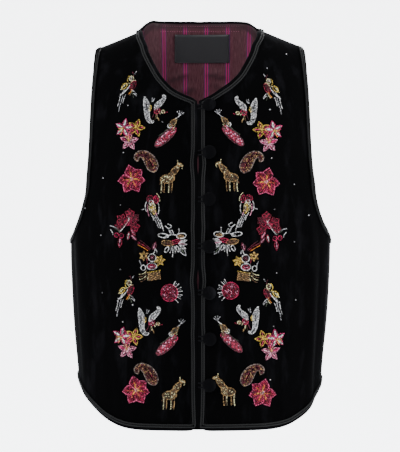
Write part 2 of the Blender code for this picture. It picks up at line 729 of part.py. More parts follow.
def main():
    for leftover in list(bpy.data.objects):
        bpy.data.objects.remove(leftover, do_unlink=True)
    vest = bpy.data.collections.new("Beaded velvet vest")
    bpy.context.scene.collection.children.link(vest)

    fronts = {}
    for side, name in ((-1, "right_front"), (1, "left_front")):
        net = panel_net(side, False)
        outer, outs = panel_points(net, side, False, 0.0)
        inner, _ = panel_points(net, side, False, FRONT_WALL)
        fronts[side] = (outer, inner, outs)
        mesh = cloth_wall(name, COLUMNS, ROWS, front_has_cell, outer, inner)
        finish_piece(name, mesh, base_material(name + " velvet", VELVET, 0.9), vest)

    nets = {side: panel_net(side, True) for side in (-1, 1)}

    def back_layer(depth):
        halves = {side: panel_points(nets[side], side, True, depth) for side in (-1, 1)}
        return [mirrored(halves[-1][k], halves[1][k]) for k in (0, 1)]
    shell, outs = back_layer(0.0)
    shell_inside, _ = back_layer(SHELL_WALL)
    lining, _ = back_layer(SHELL_WALL + SEAM)
    lining_inside, _ = back_layer(BACK_LAYERS)
    mesh = cloth_wall("back", 2 * COLUMNS, ROWS, back_has_cell, shell, shell_inside)
    finish_piece("back", mesh, base_material("back velvet", VELVET, 0.9), vest)
    mesh = cloth_wall("back_lining", 2 * COLUMNS, ROWS, back_has_cell, lining, lining_inside)
    finish_piece("back_lining", mesh, base_material("striped lining", LINING_CLOTH, 0.5), vest)
    finish_piece("label", label_mesh("label"), base_material("bare label", LABEL_CLOTH, 0.6), vest)
    whole_back = (shell, lining_inside, outs)

    routes = {
        "right_front_binding": (front_binding_stations(fronts[-1]), False),
        "left_front_binding": (front_binding_stations(fronts[1]), False),
        "back_neck_binding": (back_neck_stations(whole_back), False),
        "back_hem_binding": (back_hem_stations(whole_back), False),
    }
    for side, name in ((-1, "right_armhole_binding"), (1, "left_armhole_binding")):
        half = []
        for points in whole_back:
            half.append({(side * (i - COLUMNS), j): point for (i, j), point in points.items()
                         if side * (i - COLUMNS) >= 0})
        routes[name] = (armhole_binding_stations(fronts[side], tuple(half)), True)
    for name, (stations, closed) in routes.items():
        mesh = loft(name, [binding_section(station) for station in stations], closed)
        finish_piece(name, mesh, base_material(name + " velvet", BINDING_VELVET, 0.8), vest)

    pitch = (LOWEST_BUTTON_Z - TOP_BUTTON_Z) / (BUTTONS - 1)
    for k in range(BUTTONS):
        z = TOP_BUTTON_Z + pitch * k
        name = f"button_{k + 1}"
        finish_piece(name, button_mesh(name, z), base_material(name + " velvet", BINDING_VELVET, 0.7), vest)
        name = f"loop_{k + 1}"
        loop_object(name, z, base_material(name + " cord", BINDING_VELVET, 0.6), vest)

    for side, word in ((-1, "right"), (1, "left")):
        for k, (kind, across, height) in enumerate(FIGURE_ROWS):
            name = f"{word}_{kind}_{k + 1}"
            mesh = beaded_figure(name, kind, side, across * MM, height * MM)
            finish_piece(name, mesh, base_material(name + " beads", FIGURE_COLOURS[kind], 0.35), vest)


main()
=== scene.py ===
import math
import random

import bmesh
import bpy
import numpy as np
from mathutils import Matrix, Vector
from mathutils.bvhtree import BVHTree


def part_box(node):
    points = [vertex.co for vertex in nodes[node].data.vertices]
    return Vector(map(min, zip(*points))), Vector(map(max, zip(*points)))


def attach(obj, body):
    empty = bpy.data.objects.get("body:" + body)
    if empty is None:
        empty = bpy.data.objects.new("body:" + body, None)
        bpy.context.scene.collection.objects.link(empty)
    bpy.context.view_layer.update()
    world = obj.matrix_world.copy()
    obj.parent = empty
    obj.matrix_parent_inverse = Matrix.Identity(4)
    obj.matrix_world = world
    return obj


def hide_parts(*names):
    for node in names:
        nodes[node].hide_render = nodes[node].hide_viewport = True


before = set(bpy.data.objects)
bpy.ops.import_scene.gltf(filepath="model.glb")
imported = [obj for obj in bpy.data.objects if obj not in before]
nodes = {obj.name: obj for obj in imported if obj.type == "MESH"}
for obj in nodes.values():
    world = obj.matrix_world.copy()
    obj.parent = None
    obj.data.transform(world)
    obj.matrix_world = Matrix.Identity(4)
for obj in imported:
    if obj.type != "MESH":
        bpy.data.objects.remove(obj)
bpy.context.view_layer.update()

MM = 0.001

# The view and the light: a long lens, level with the middle of the vest, before a lit pale backdrop,
# with broad soft lights that graze the pile from both sides as a shop's photograph has them.
EYE = Vector((0.0, -2.19, -0.283))
LENS = 120.0
SWEEP_COLOUR = (0.84, 0.855, 0.885)



def placed(name, data):
    """A new object in the scene."""
    made = bpy.data.objects.new(name, data)
    bpy.context.scene.collection.objects.link(made)
    return made


camera_data = bpy.data.cameras.new("camera")
camera_data.lens = LENS
camera = placed("camera", camera_data)
camera.location = EYE
camera.rotation_euler = (math.pi / 2, 0, 0)
bpy.context.scene.camera = camera

world = bpy.data.worlds.new("studio")
world.use_nodes = True
world.node_tree.nodes["Background"].inputs["Color"].default_value = (*SWEEP_COLOUR, 1)
world.node_tree.nodes["Background"].inputs["Strength"].default_value = 1.0
bpy.context.scene.world = world

# name, place, aimed at, width, height, watts
LIGHTS = (
    ("key", (-1.3, -2.4, 1.3), (0, 0, -0.25), 1.6, 1.6, 50),
    ("left_edge", (-2.0, -0.3, 0.1), (0, 0, -0.3), 0.8, 1.8, 13),
    ("right_edge", (2.0, -0.3, 0.1), (0, 0, -0.3), 0.8, 1.8, 40),
    ("behind", (0.6, 2.4, 1.2), (0, 0, -0.25), 1.6, 1.6, 40),
)
for name, place, aim, width, height, watts in LIGHTS:
    lamp = bpy.data.lights.new(name, "AREA")
    lamp.shape = "RECTANGLE"
    lamp.size = width
    lamp.size_y = height
    lamp.energy = watts
    light = placed(name, lamp)
    light.location = place
    light.rotation_euler = (Vector(aim) - Vector(place)).to_track_quat("-Z", "Y").to_euler()


def shader_nodes(name, colour, roughness, specular=0.5):
    """A new material with its colour, roughness and highlight; returns it, its node tree and its shader."""
    material = bpy.data.materials.new(name)
    material.use_nodes = True
    shader = material.node_tree.nodes["Principled BSDF"]
    shader.inputs["Base Color"].default_value = (*colour, 1)
    shader.inputs["Roughness"].default_value = roughness
    shader.inputs["Specular IOR Level"].default_value = specular
    return material, material.node_tree, shader


def add_node(tree, kind, **values):
    """One shader node, with its settings; an input takes a value or another node's output."""
    made = tree.nodes.new(kind)
    for key, value in values.items():
        if hasattr(made, key):
            setattr(made, key, value)
        elif isinstance(value, bpy.types.NodeSocket):
            tree.links.new(value, made.inputs[key.title()])
        else:
            made.inputs[key.title()].default_value = value
    return made


def blend_colours(tree, share, first, second):
    """Mixes two colours, each a value or a node's output, by the share that a node gives."""
    mix = add_node(tree, "ShaderNodeMix", data_type="RGBA")
    tree.links.new(share, mix.inputs[0])
    for colour, socket in ((first, mix.inputs[6]), (second, mix.inputs[7])):
        if isinstance(colour, bpy.types.NodeSocket):
            tree.links.new(colour, socket)
        else:
            socket.default_value = (*colour, 1)
    return mix.outputs[2]


def ramped(tree, value, stops):
    """A level that follows a node's value through stops of position and level."""
    ramp = add_node(tree, "ShaderNodeValToRGB", fac=value)
    marks = ramp.color_ramp.elements
    for mark, (position, level) in zip(marks, (stops[0], stops[-1])):
        mark.position = position
        mark.color = (level, level, level, 1)
    for position, level in stops[1:-1]:
        marks.new(position).color = (level, level, level, 1)
    return ramp.outputs["Color"]


def relief(tree, shader, height, strength, distance):
    """Gives a shader's surface the fine relief of a node's height."""
    bump = add_node(tree, "ShaderNodeBump", strength=strength, distance=distance)
    tree.links.new(height, bump.inputs["Height"])
    tree.links.new(bump.outputs["Normal"], shader.inputs["Normal"])


FLOOR_Z = -1.35
BACKDROP_Y = 3.3
BACKDROP_GLOW = 4.6
floor_paper, _, _ = shader_nodes("floor_paper", SWEEP_COLOUR, 0.9, 0.1)
backdrop_paper, _, backdrop_shader = shader_nodes("backdrop_paper", SWEEP_COLOUR, 0.9, 0.1)
backdrop_shader.inputs["Emission Color"].default_value = (0.965, 0.98, 1.0, 1)
backdrop_shader.inputs["Emission Strength"].default_value = BACKDROP_GLOW
# name, paper, half size, place, turn about X
STAGE = (
    ("floor", floor_paper, 7.0, (0, 0, FLOOR_Z), 0),
    ("backdrop", backdrop_paper, 1.9, (0, BACKDROP_Y, FLOOR_Z + 1.9), math.pi / 2),
)
for name, paper, half, place, turn in STAGE:
    sheet = bmesh.new()
    seat = Matrix.Translation(place) @ Matrix.Rotation(turn, 4, "X")
    bmesh.ops.create_grid(sheet, x_segments=2, y_segments=2, size=half, matrix=seat)
    sheet_mesh = bpy.data.meshes.new(name)
    sheet.to_mesh(sheet_mesh)
    sheet.free()
    sheet_mesh.materials.append(paper)
    placed(name, sheet_mesh)

# The two fronts: short black velvet on a striped lining, cut with a scooped neck and a long armhole.
# The pile is crushed here and there, its greyer streaks partly painted sheen, and soft creases fall from the
# armhole and between the buttons.
ROUND_WIDTH, ROUND_DEPTH = 180, 110
TURNS = np.linspace(-math.pi, math.pi, 361)
ring = np.stack((ROUND_WIDTH * np.sin(TURNS), ROUND_DEPTH * np.cos(TURNS)), axis=1)
ARCS = np.concatenate(([0], np.cumsum(np.linalg.norm(np.diff(ring, axis=0), axis=1))))
ARCS -= ARCS[len(ARCS) // 2]
GRAIN_WIDTH = 190
CORE_SHARE = 0.6
CORE_TOP = -0.1
# Creases, in millimetres: round the body from the centre front (+ to the wearer's left) and height,
# at the upper end and at the lower end, then half width and rise (a trough is below zero)
CREASES = (
    (-172, -300, -150, -545, 11, 1.8),
    (-196, -270, -186, -520, 9, -1.8),
    (-222, -310, -214, -505, 10, 1.6),
    (-128, -395, -118, -560, 8, -1.3),
    (-60, -470, -96, -560, 9, 1.2),
    (-150, -215, -190, -275, 7, -1.4),
    (-120, -60, -136, -190, 8, -1.2),
    (-96, -250, -104, -360, 7, 0.8),
    (146, -250, 158, -470, 8, 1.9),
    (166, -285, 176, -560, 7, -2.1),
    (188, -240, 196, -530, 9, 2.0),
    (214, -330, 226, -500, 9, -1.6),
    (118, -420, 96, -558, 8, -1.6),
    (84, -480, 122, -552, 7, 1.5),
    (140, -520, 70, -545, 6, -1.2),
    (152, -205, 188, -262, 7, 1.4),
    (126, -50, 138, -170, 8, -1.3),
    (16, -150, 64, -176, 5, -0.7),
    (18, -245, 58, -262, 5, 0.7),
    (16, -330, 50, -318, 5, -0.7),
    (16, -432, 56, -452, 5, -0.8),
    (-12, -214, -52, -196, 5, -0.6),
    (-12, -356, -46, -374, 5, 0.6),
    (330, -150, 420, -330, 15, -2.2),
    (300, -260, 344, -500, 12, 2.2),
    (392, -300, 380, -545, 14, 2.6),
    (436, -230, 446, -470, 12, -2.4),
    (270, -330, 262, -500, 10, -1.6),
    (-440, -280, -452, -545, 14, 2.4),
    (-396, -230, -372, -430, 12, -2.2),
    (-345, -320, -360, -540, 12, 2.0),
    (-300, -180, -262, -330, 12, -1.8),
    (-286, -360, -280, -505, 9, 1.6),
    (-420, -90, -300, -130, 12, -1.2),
    (420, -70, 310, -120, 12, 1.2),
)
# The share of a crease that is lost at each end, and how fast it rises there
CREASE_ENDS, CREASE_RISE = 0.08, 0.8
# Places nearer than this are one. Triangles join that bend and skew less than this, in degrees, and
# edges that bend more than the last stay sharp
WELD_GAP = 0.02 * MM
JOIN_BEND, JOIN_SKEW, SHARP_BEND = 40, 80, 50


def outward(place):
    """Rough way out of the vest's hollow at a place on its cloth."""
    core = Vector((CORE_SHARE * place.x, 0, min(place.z, CORE_TOP)))
    return (place - core).normalized()


def round_the_body(places):
    """Millimetres round the body from the centre front, for an array of places."""
    turns = np.arctan2(places[:, 0] / ROUND_WIDTH, -places[:, 1] / ROUND_DEPTH)
    return np.interp(turns, TURNS, ARCS)


def welded(node_name):
    """A working copy of a solid from the frame, its loose triangles joined into quads."""
    bm = bmesh.new()
    bm.from_mesh(nodes[node_name].data)
    bmesh.ops.remove_doubles(bm, verts=bm.verts[:], dist=WELD_GAP)
    bmesh.ops.join_triangles(bm, faces=bm.faces[:], angle_face_threshold=math.radians(JOIN_BEND),
                             angle_shape_threshold=math.radians(JOIN_SKEW))
    return bm


def finished_mesh(holder):
    """The mesh that an object's curve or modifiers make; the object itself goes."""
    mesh = bpy.data.meshes.new_from_object(holder.evaluated_get(bpy.context.evaluated_depsgraph_get()))
    bpy.data.objects.remove(holder)
    return mesh


def softened(bm, levels, sharp=None):
    """Rounds a cage by subdivision; edges that bend by more than sharp degrees are kept."""
    if sharp:
        keep = bm.edges.layers.float.new("crease_edge")
        for edge in bm.edges:
            if edge.calc_face_angle(0) > math.radians(sharp):
                edge[keep] = 1.0
    mesh = bpy.data.meshes.new("cage")
    bm.to_mesh(mesh)
    bm.free()
    cage = placed("cage", mesh)
    rounding = cage.modifiers.new("rounding", "SUBSURF")
    rounding.levels = rounding.render_levels = levels
    smooth_mesh = finished_mesh(cage)
    smooth = bmesh.new()
    smooth.from_mesh(smooth_mesh)
    bpy.data.meshes.remove(smooth_mesh)
    return smooth


def fold_push(around, height, creases):
    """How far out the creases push the cloth, in millimetres, for arrays of places on it."""
    push = np.zeros(len(around))
    for top_around, top, foot_around, foot, half_width, rise in creases:
        run = np.array((foot_around - top_around, foot - top), dtype=float)
        length = np.linalg.norm(run)
        run /= length
        offset = np.stack((around - top_around, height - top), axis=1)
        along = np.clip(offset @ run / length, 0, 1)
        away = np.abs(offset[:, 0] * run[1] - offset[:, 1] * run[0]) / half_width
        past = np.abs(offset @ run - along * length) / half_width
        swell = np.sin(math.pi * (CREASE_ENDS + (1 - 2 * CREASE_ENDS) * along)) ** CREASE_RISE
        push += rise * np.exp(-away ** 2 - past ** 2) * swell
    return push


def creased(bm, creases=CREASES):
    """Pushes the cloth in and out along soft creases, every layer by the same amount."""
    places = np.array([vert.co for vert in bm.verts])
    push = fold_push(round_the_body(places), places[:, 2] / MM, creases)
    for vert, rise in zip(bm.verts, push):
        vert.co += outward(vert.co) * float(rise) * MM
    bm.normal_update()
    return bm


# The fronts' edges lie together, most of all at the hem, but gape a little between some buttons:
# height, half height, gape
EDGE_CLOSE = 2.5
EDGE_MIDDLE, EDGE_REACH = -2.7, 16
GAPES = ((-198, 14, 2.1), (-358, 14, 2.2), (-285, 10, 0.8), (-432, 10, 0.7), (-575, 34, -2.2))


def drawn_together(bm, side):
    """Moves a front's centre edge towards the other's, less where the vest gapes."""
    for vert in bm.verts:
        away = abs(vert.co.x / MM - EDGE_MIDDLE) / EDGE_REACH
        if away < 1:
            height = vert.co.z / MM
            shut = EDGE_CLOSE - sum(gape * math.exp(-((height - at) / half) ** 2)
                                    for at, half, gape in GAPES)
            vert.co.x -= side * shut * MM * (1 - away * away) ** 2
    return bm


# The fronts' neck edges are eased in by their bindings, the left one more: largest pull, and how far
# from the centre front it starts and is full, in millimetres round a nearly circular neck. It fades
# out upwards, over NECK_FADE below NECK_TOP
NECK_MIDDLE, NECK_RADIUS, NECK_REACH = -20, 82, 45
NECK_PULL = {-1: (4.6, 20, 70), 1: (6.2, 4, 40)}
NECK_TOP, NECK_FADE = -8, 22


def rising(share):
    """A smooth step from 0 to 1."""
    share = min(max(share, 0), 1)
    return share * share * (3 - 2 * share)


def eased(bm):
    """Draws the front's neck edge in towards the middle of the neck."""
    for vert in bm.verts:
        x, z = vert.co.x / MM, vert.co.z / MM
        reach = math.hypot(x, z - NECK_MIDDLE)
        if vert.co.y < 0 and z < NECK_TOP and reach < NECK_RADIUS + NECK_REACH:
            pull, start, full = NECK_PULL[int(math.copysign(1, x))]
            near = 1 - max(reach - NECK_RADIUS, 0) / NECK_REACH
            share = rising((abs(x) - start) / (full - start)) * rising((NECK_TOP - z) / NECK_FADE)
            vert.co -= Vector((x, 0, z - NECK_MIDDLE)) / reach * pull * share * near * near * MM
    return bm


# Interlining and seams plump the shoulders up, the left one more
SHOULDER_PLUMP = {-1: 0.4 * MM, 1: 2.5 * MM}
SHOULDER_REACH = 17 * MM
SHOULDER_LOW = -0.07
SEAMS_FROM = 0.08


def plumped(bm):
    """Raises the cloth along the shoulder seams."""
    for vert in bm.verts:
        if vert.co.z > SHOULDER_LOW and abs(vert.co.x) > SEAMS_FROM:
            rise = SHOULDER_PLUMP[int(math.copysign(1, vert.co.x))]
            vert.co.z += rise * math.exp(-(vert.co.y / SHOULDER_REACH) ** 2)
    return bm


# The back neck edge stands up at the right shoulder and falls away at the left: across, half width, rise
CORNERS = ((-0.073, 0.011, 2.8 * MM), (0.085, 0.008, -2.4 * MM))
CORNER_FOOT, CORNER_FULL, CORNER_BEHIND = -0.01, 0.02, 0.004


def cornered(bm):
    """Lifts or lowers the back neck edge beside each shoulder."""
    for vert in bm.verts:
        high = min(max((vert.co.z - CORNER_FOOT) / CORNER_FULL, 0), 1)
        if high and vert.co.y > CORNER_BEHIND:
            vert.co.z += high * sum(rise * math.exp(-((vert.co.x - across) / half) ** 2)
                                    for across, half, rise in CORNERS)
    return bm


# The side and shoulder seams are sewn: the pieces meet where both end, in the plane through the origin
SEAM_GAP = 0.17 * MM
SEAM_REACH = 2.5 * MM


def sewn(bm):
    """Brings the ends of a piece up to its seams with the next one."""
    for vert in bm.verts:
        away = abs(vert.co.y)
        if away < SEAM_REACH and abs(vert.co.x) > SEAMS_FROM:
            vert.co.y -= math.copysign(min(SEAM_GAP * (1 - away / SEAM_REACH), away), vert.co.y)
    return bm


def cloth_map(bm):
    """Lays the cloth's own map on it, straight up the grain: millimetres round and up, in hundreds."""
    layer = bm.loops.layers.uv.new("cloth")
    bm.verts.index_update()
    places = np.array([vert.co for vert in bm.verts])
    turns = np.arcsin(np.clip(places[:, 0] / MM / GRAIN_WIDTH, -1, 1))
    around = np.interp(turns, TURNS, ARCS) / 100
    for face in bm.faces:
        for corner in face.loops:
            corner[layer].uv = (around[corner.vert.index], corner.vert.co.z * 10)
    return bm


def worn_piece(name, bm, materials, slot_name, stands_for=()):
    """Ends a piece: its object, materials, body and the solids that it stands for; the finish that it is
    given is not used.
    """
    mesh = bpy.data.meshes.new(name)
    bm.to_mesh(mesh)
    bm.free()
    for material in materials:
        mesh.materials.append(material)
    mesh.shade_smooth()
    mesh.set_sharp_from_angle(angle=math.radians(SHARP_BEND))
    piece = placed(name, mesh)
    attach(piece, "root")
    if stands_for:
        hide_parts(*stands_for)
    return piece


def velvet(name, deep, crushed_and_sheen, sheen):
    """Cut pile: nearly black, greyer in long upright streaks that are partly crushed pile and partly painted
    sheen, with a faint bloom at grazing angles.
    """
    material, tree, shader = shader_nodes(name, deep, 1.0, 0.02)
    shader.inputs["Sheen Weight"].default_value = sheen
    shader.inputs["Sheen Roughness"].default_value = 0.35
    shader.inputs["Sheen Tint"].default_value = (0.72, 0.74, 0.8, 1)
    place = add_node(tree, "ShaderNodeTexCoord").outputs["Object"]
    # Painted sheen: long upright streaks of greyer colour, partly crushed pile, stand in for the pile's
    # sheen
    stretch = add_node(tree, "ShaderNodeMapping", vector=place, scale=(1, 1, 0.28))
    nap_and_sheen_streaks = add_node(tree, "ShaderNodeTexNoise", vector=stretch.outputs["Vector"], scale=52.0, detail=4.0,
                   roughness=0.62)
    crush_and_sheen = ramped(tree, nap_and_sheen_streaks.outputs["Fac"], ((0.52, 0), (0.78, 1)))
    tree.links.new(blend_colours(tree, crush_and_sheen, deep, crushed_and_sheen), shader.inputs["Base Color"])
    pile = add_node(tree, "ShaderNodeTexNoise", vector=place, scale=1400.0, detail=2.0, roughness=0.7)
    relief(tree, shader, pile.outputs["Fac"], 0.35, 0.0006)
    return material


# The stripes' repeat and shift round the cloth, in hundreds of millimetres
LINING_PITCH, LINING_SHIFT = 0.302, 0.21
# Shares of half a pitch, from the middle between two stripes of a pair outwards, and how bright each is
LINING_STRIPES = ((0.05, 0), (0.065, 1), (0.125, 1), (0.14, 0), (0.30, 0), (0.315, 0.3), (0.33, 0),
                  (0.42, 0), (0.43, 0.18), (0.45, 0))
LINING_SIDES = ((0.14, 0), (0.15, 0.55), (0.20, 0.55), (0.22, 0))
VIOLET = (0.085, 0.028, 0.15)


def striped_lining(name, base, fleck, stripe, band_and_wrinkle_shade):
    """Woven lining: pairs of thin bright stripes up the cloth, violet beside them, on a shot ground."""
    material, tree, shader = shader_nodes(name, base, 0.5, 0.2)
    shader.inputs["Sheen Weight"].default_value = 0.06
    cloth = add_node(tree, "ShaderNodeUVMap", uv_map="cloth").outputs["UV"]
    share = add_node(tree, "ShaderNodeSeparateXYZ", vector=cloth).outputs["X"]
    for operation, number in (("ADD", LINING_SHIFT), ("PINGPONG", LINING_PITCH / 2),
                              ("DIVIDE", LINING_PITCH / 2)):
        step = add_node(tree, "ShaderNodeMath", operation=operation)
        tree.links.new(share, step.inputs[0])
        step.inputs[1].default_value = number
        share = step.outputs["Value"]
    threads = add_node(tree, "ShaderNodeMapping", vector=cloth, scale=(95, 9, 1))
    flecks = add_node(tree, "ShaderNodeTexNoise", vector=threads.outputs["Vector"], scale=1.0, detail=3.0,
                      roughness=0.65)
    colour = blend_colours(tree, ramped(tree, flecks.outputs["Fac"], ((0.36, 0), (0.68, 1))), base, fleck)
    colour = blend_colours(tree, ramped(tree, share, LINING_SIDES), colour, VIOLET)
    colour = blend_colours(tree, ramped(tree, share, LINING_STRIPES), colour, stripe)
    # One attribute gives the neck band its darker colour and paints shade on the downward sides of the
    # lining's wrinkles
    band_and_shade_share = add_node(tree, "ShaderNodeAttribute", attribute_name="neck_band")
    colour = blend_colours(tree, band_and_shade_share.outputs["Fac"], colour, band_and_wrinkle_shade)
    tree.links.new(colour, shader.inputs["Base Color"])
    stretch = add_node(tree, "ShaderNodeMapping", vector=cloth, scale=(1, 0.3, 1))
    weave = add_node(tree, "ShaderNodeTexNoise", vector=stretch.outputs["Vector"], scale=900.0, detail=1.0)
    relief(tree, shader, weave.outputs["Fac"], 0.15, 0.0003)
    return material


body_velvet = velvet("body_velvet", (0.0014, 0.0014, 0.0016), (0.0058, 0.0058, 0.007), 0.03)
lining_cloth = striped_lining("lining_cloth", (0.046, 0.012, 0.018), (0.112, 0.038, 0.049),
                              (0.38, 0.006, 0.12), (0.030, 0.013, 0.017))


INWARD = -0.3


def lined_inside(bm):
    """Gives the faces that look into the hollow the lining."""
    for face in bm.faces:
        if face.normal.dot(outward(face.calc_center_median())) < INWARD:
            face.material_index = 1
    return bm


def outer_edge(bm, seed):
    """The ring of places round the outer face that holds the seed, each with the way out there."""
    first = min(bm.faces, key=lambda face: (face.calc_center_median() - Vector(seed)).length
                - 0.01 * face.normal.dot(outward(Vector(seed))))
    outer, waiting = {first}, [first]
    while waiting:
        for edge in waiting.pop().edges:
            if edge.calc_face_angle(0) < math.radians(SHARP_BEND):
                fresh = [face for face in edge.link_faces if face not in outer]
                outer.update(fresh)
                waiting.extend(fresh)
    following = {}
    bm.faces.index_update()
    for face in sorted(outer, key=lambda face: face.index):
        for edge in face.edges:
            if sum(other in outer for other in edge.link_faces) == 1:
                for vert in edge.verts:
                    following.setdefault(vert, []).append((edge.other_vert(vert), face.normal.copy()))
    ring, before, vert = [], None, next(iter(following))
    while not ring or vert is not start:
        start = vert if not ring else start
        ring.append((vert.co.copy(), following[vert][0][1]))
        onward = next(end for end, _ in following[vert] if end is not before)
        before, vert = vert, onward
    return ring


front_trees, edge_rings = {}, {}
SIDES = ((-1, "right"), (1, "left"))
for side, word in SIDES:
    name = word + "_front"
    cloth = creased(sewn(softened(welded(name), 3, sharp=SHARP_BEND)))
    cloth = lined_inside(cloth_map(drawn_together(eased(plumped(cloth)), side)))
    front_trees[side] = BVHTree.FromBMesh(cloth)
    edge_rings[name] = outer_edge(cloth, (side * 0.09, -0.105, -0.3))
    front = worn_piece(name + "_velvet", cloth, (body_velvet, lining_cloth), "velvet", [name])

back = creased(sewn(softened(welded("back"), 3, sharp=SHARP_BEND)))
back = cloth_map(cornered(plumped(back)))
edge_rings["back"] = outer_edge(back, (0.05, 0.1, -0.3))
back_piece = worn_piece("back_velvet", back, (body_velvet,), "velvet", ["back"])
# Shallow wrinkles of the lining below the label, pushed into the hollow: columns as for the creases
WRINKLES = (
    (-438, -53, -398, -62, 4.5, -3.0),
    (-388, -56, -366, -84, 5, -2.8),
    (-452, -72, -414, -84, 5, -3.2),
    (-412, -92, -386, -112, 6, -2.8),
    (448, -52, 410, -58, 4.5, -2.8),
    (436, -68, 384, -82, 5, -3.2),
    (392, -50, 366, -72, 5, -2.4),
    (456, -90, 420, -110, 6, -3.0),
    (400, -100, 372, -106, 5, -2.4),
)
lining = creased(sewn(softened(welded("back_lining"), 3, sharp=SHARP_BEND)))
lining = cloth_map(cornered(creased(lining, WRINKLES)))
lining_tree = BVHTree.FromBMesh(lining)
# The band under the neck edge, in millimetres: its depth and soft edge, how far out it runs, from where and
# how fast it narrows, and its lowest place; then how dark the band is, and how strong and how dark the
# painted shade on the downward side of each wrinkle is
BAND_DEPTH, BAND_EDGE, BAND_END, BAND_NARROWS, BAND_SLANT, BAND_FOOT = 10.5, 1.5, 84, 60, 0.25, -20
BAND_SHADE, WRINKLE_SHADE, WRINKLE_DARKEST, SLOPE_REACH = 0.85, 0.55, 0.75, 2
neck_edge = sorted((place.x / MM, place.z / MM, place.y / MM) for place, _ in edge_rings["back"]
                   if place.y > 0.002 and place.z > 0.002 and abs(place.x) < 0.085)
neck_across, neck_heights, neck_depths = zip(*neck_edge)
band_and_shade_layer = lining.verts.layers.float.new("neck_band")
places = np.array([vert.co for vert in lining.verts])
around, height = round_the_body(places), places[:, 2] / MM
# Painted shade: the lining is darkened where its wrinkles slope downwards; the neck band then gets its own
# darker colour
slope = (fold_push(around, height + SLOPE_REACH, WRINKLES)
         - fold_push(around, height - SLOPE_REACH, WRINKLES))
for vert, shade in zip(lining.verts, np.clip(-WRINKLE_SHADE * slope, 0, WRINKLE_DARKEST)):
    vert[band_and_shade_layer] = float(shade)
    x, z = vert.co.x / MM, vert.co.z / MM
    if vert.co.y > 0 and z > BAND_FOOT and abs(x) < BAND_END:
        below = np.interp(x, neck_across, neck_heights) - z - max(abs(x) - BAND_NARROWS, 0) * BAND_SLANT
        vert[band_and_shade_layer] = float(np.clip((BAND_DEPTH - below) / BAND_EDGE, 0, 1)) * BAND_SHADE
lining_piece = worn_piece("back_lining_cloth", lining, (lining_cloth,), "lining", ["back_lining"])

# Two rows of pink hand stitches hold the neck band: how far below the neck edge, in millimetres
STITCH_ROWS = (5.6, 13.2)
STITCH_STEP, STITCH_END = 3.4, 58
stitch_silk, _, _ = shader_nodes("stitch_silk", (0.42, 0.11, 0.19), 0.6, 0.2)


def stitched(tree, aims, heading, half_length, half_width):
    """Small stitches where rays from the given places meet a cloth, all along one heading."""
    bm = bmesh.new()
    for aim, way in aims:
        spot, out, _, _ = tree.ray_cast(Vector(aim) * MM, Vector(way))
        if spot is not None:
            across = (Vector(heading) - out * out.dot(Vector(heading))).normalized()
            turned = Matrix((across, out.cross(across), out)).transposed().to_4x4()
            shape = Matrix.Diagonal((half_length * MM, half_width * MM, half_width * MM, 1))
            seat = Matrix.Translation(spot + out * 0.2 * half_width * MM) @ turned @ shape
            bmesh.ops.create_icosphere(bm, subdivisions=1, radius=1.0, matrix=seat)
    return bm


rows = [((x, 0, np.interp(x, neck_across, neck_heights) - below), (0, 1, 0))
        for below in STITCH_ROWS for x in np.arange(-STITCH_END, STITCH_END, STITCH_STEP)]
worn_piece("neck_stitches", stitched(lining_tree, rows, (1, 0, 0), 0.85, 0.32), (stitch_silk,), "lining")

# The label: a small bare patch of black satin, laid on the lining and sewn down all round.
# Its close weave shines a little, and it waves slightly between the stitches.
LABEL_WAVE = 0.4 * MM
WAVE_ACROSS, WAVE_UP = 140, 60


def twilled(tree, shader, strength, distance, **ribs):
    """Gives a shader's surface the slanting ribs of a close weave."""
    place = add_node(tree, "ShaderNodeTexCoord").outputs["Object"]
    weave = add_node(tree, "ShaderNodeTexWave", vector=place, wave_type="BANDS", bands_direction="DIAGONAL",
                     **ribs)
    relief(tree, shader, weave.outputs["Fac"], strength, distance)


label_satin, satin_tree, satin_shader = shader_nodes("label_satin", (0.021, 0.021, 0.023), 0.45, 0.35)
twilled(satin_tree, satin_shader, 0.2, 0.0003, scale=420.0, distortion=1.0)
label = welded("label")
bmesh.ops.subdivide_edges(label, edges=label.edges[:], cuts=3, use_grid_fill=True)
for vert in label.verts:
    vert.co.y -= LABEL_WAVE * (1 + math.sin(vert.co.x * WAVE_ACROSS + vert.co.z * WAVE_UP))
label_tree = BVHTree.FromBMesh(label)
label_piece = worn_piece("bare_label", label, (label_satin,), "label", ["label"])
label_thread, _, _ = shader_nodes("label_thread", (0.036, 0.036, 0.04), 0.6, 0.2)
# Lines of stitches on the label: start and end across and in height, in millimetres, and their step
LABEL_LINES = (((-37.4, 3.0), (43.4, 3.0)), ((-37.4, -35.0), (43.4, -35.0)), ((-37.4, -33), (-37.4, 1)),
               ((43.4, -33), (43.4, 1)), ((38.6, -28), (38.6, -4)))
LABEL_STEP = 2.6
for k, (start, end) in enumerate(LABEL_LINES):
    count = round(math.dist(start, end) / LABEL_STEP)
    run = np.array(end) - start
    line = [((x, 0, z), (0, 1, 0)) for x, z in (start + run * j / count for j in range(count + 1))]
    heading = Vector((run[0], 0, run[1])).normalized()
    worn_piece(f"label_stitches_{k}", stitched(label_tree, line, heading, 0.7, 0.26), (label_thread,),
               "label")

# The bindings: a bias strip of velvet rolled over every raw edge and sewn down on both sides.
# A flat braid of two cords lies along the strip's inner half and catches the light as a double line.
# Rolls and braids lie flatter where they cross the shoulder and the side seams
SHOULDER_SINK = 1.9 * MM
SIDE_SINK = 1.7 * MM
SINK_REACH = 26 * MM
SHOULDER_FOOT = -0.06
# name of the binding, length in metres round its edge
BINDINGS = (
    ("right_front_binding", 0.89),
    ("left_front_binding", 0.90),
    ("back_neck_binding", 0.24),
    ("back_hem_binding", 0.476),
    ("right_armhole_binding", 0.67),
    ("left_armhole_binding", 0.67),
)
binding_velvet = velvet("binding_velvet", (0.0022, 0.0022, 0.0025), (0.008, 0.008, 0.0095), 0.05)
PLUMP = 0.4 * MM
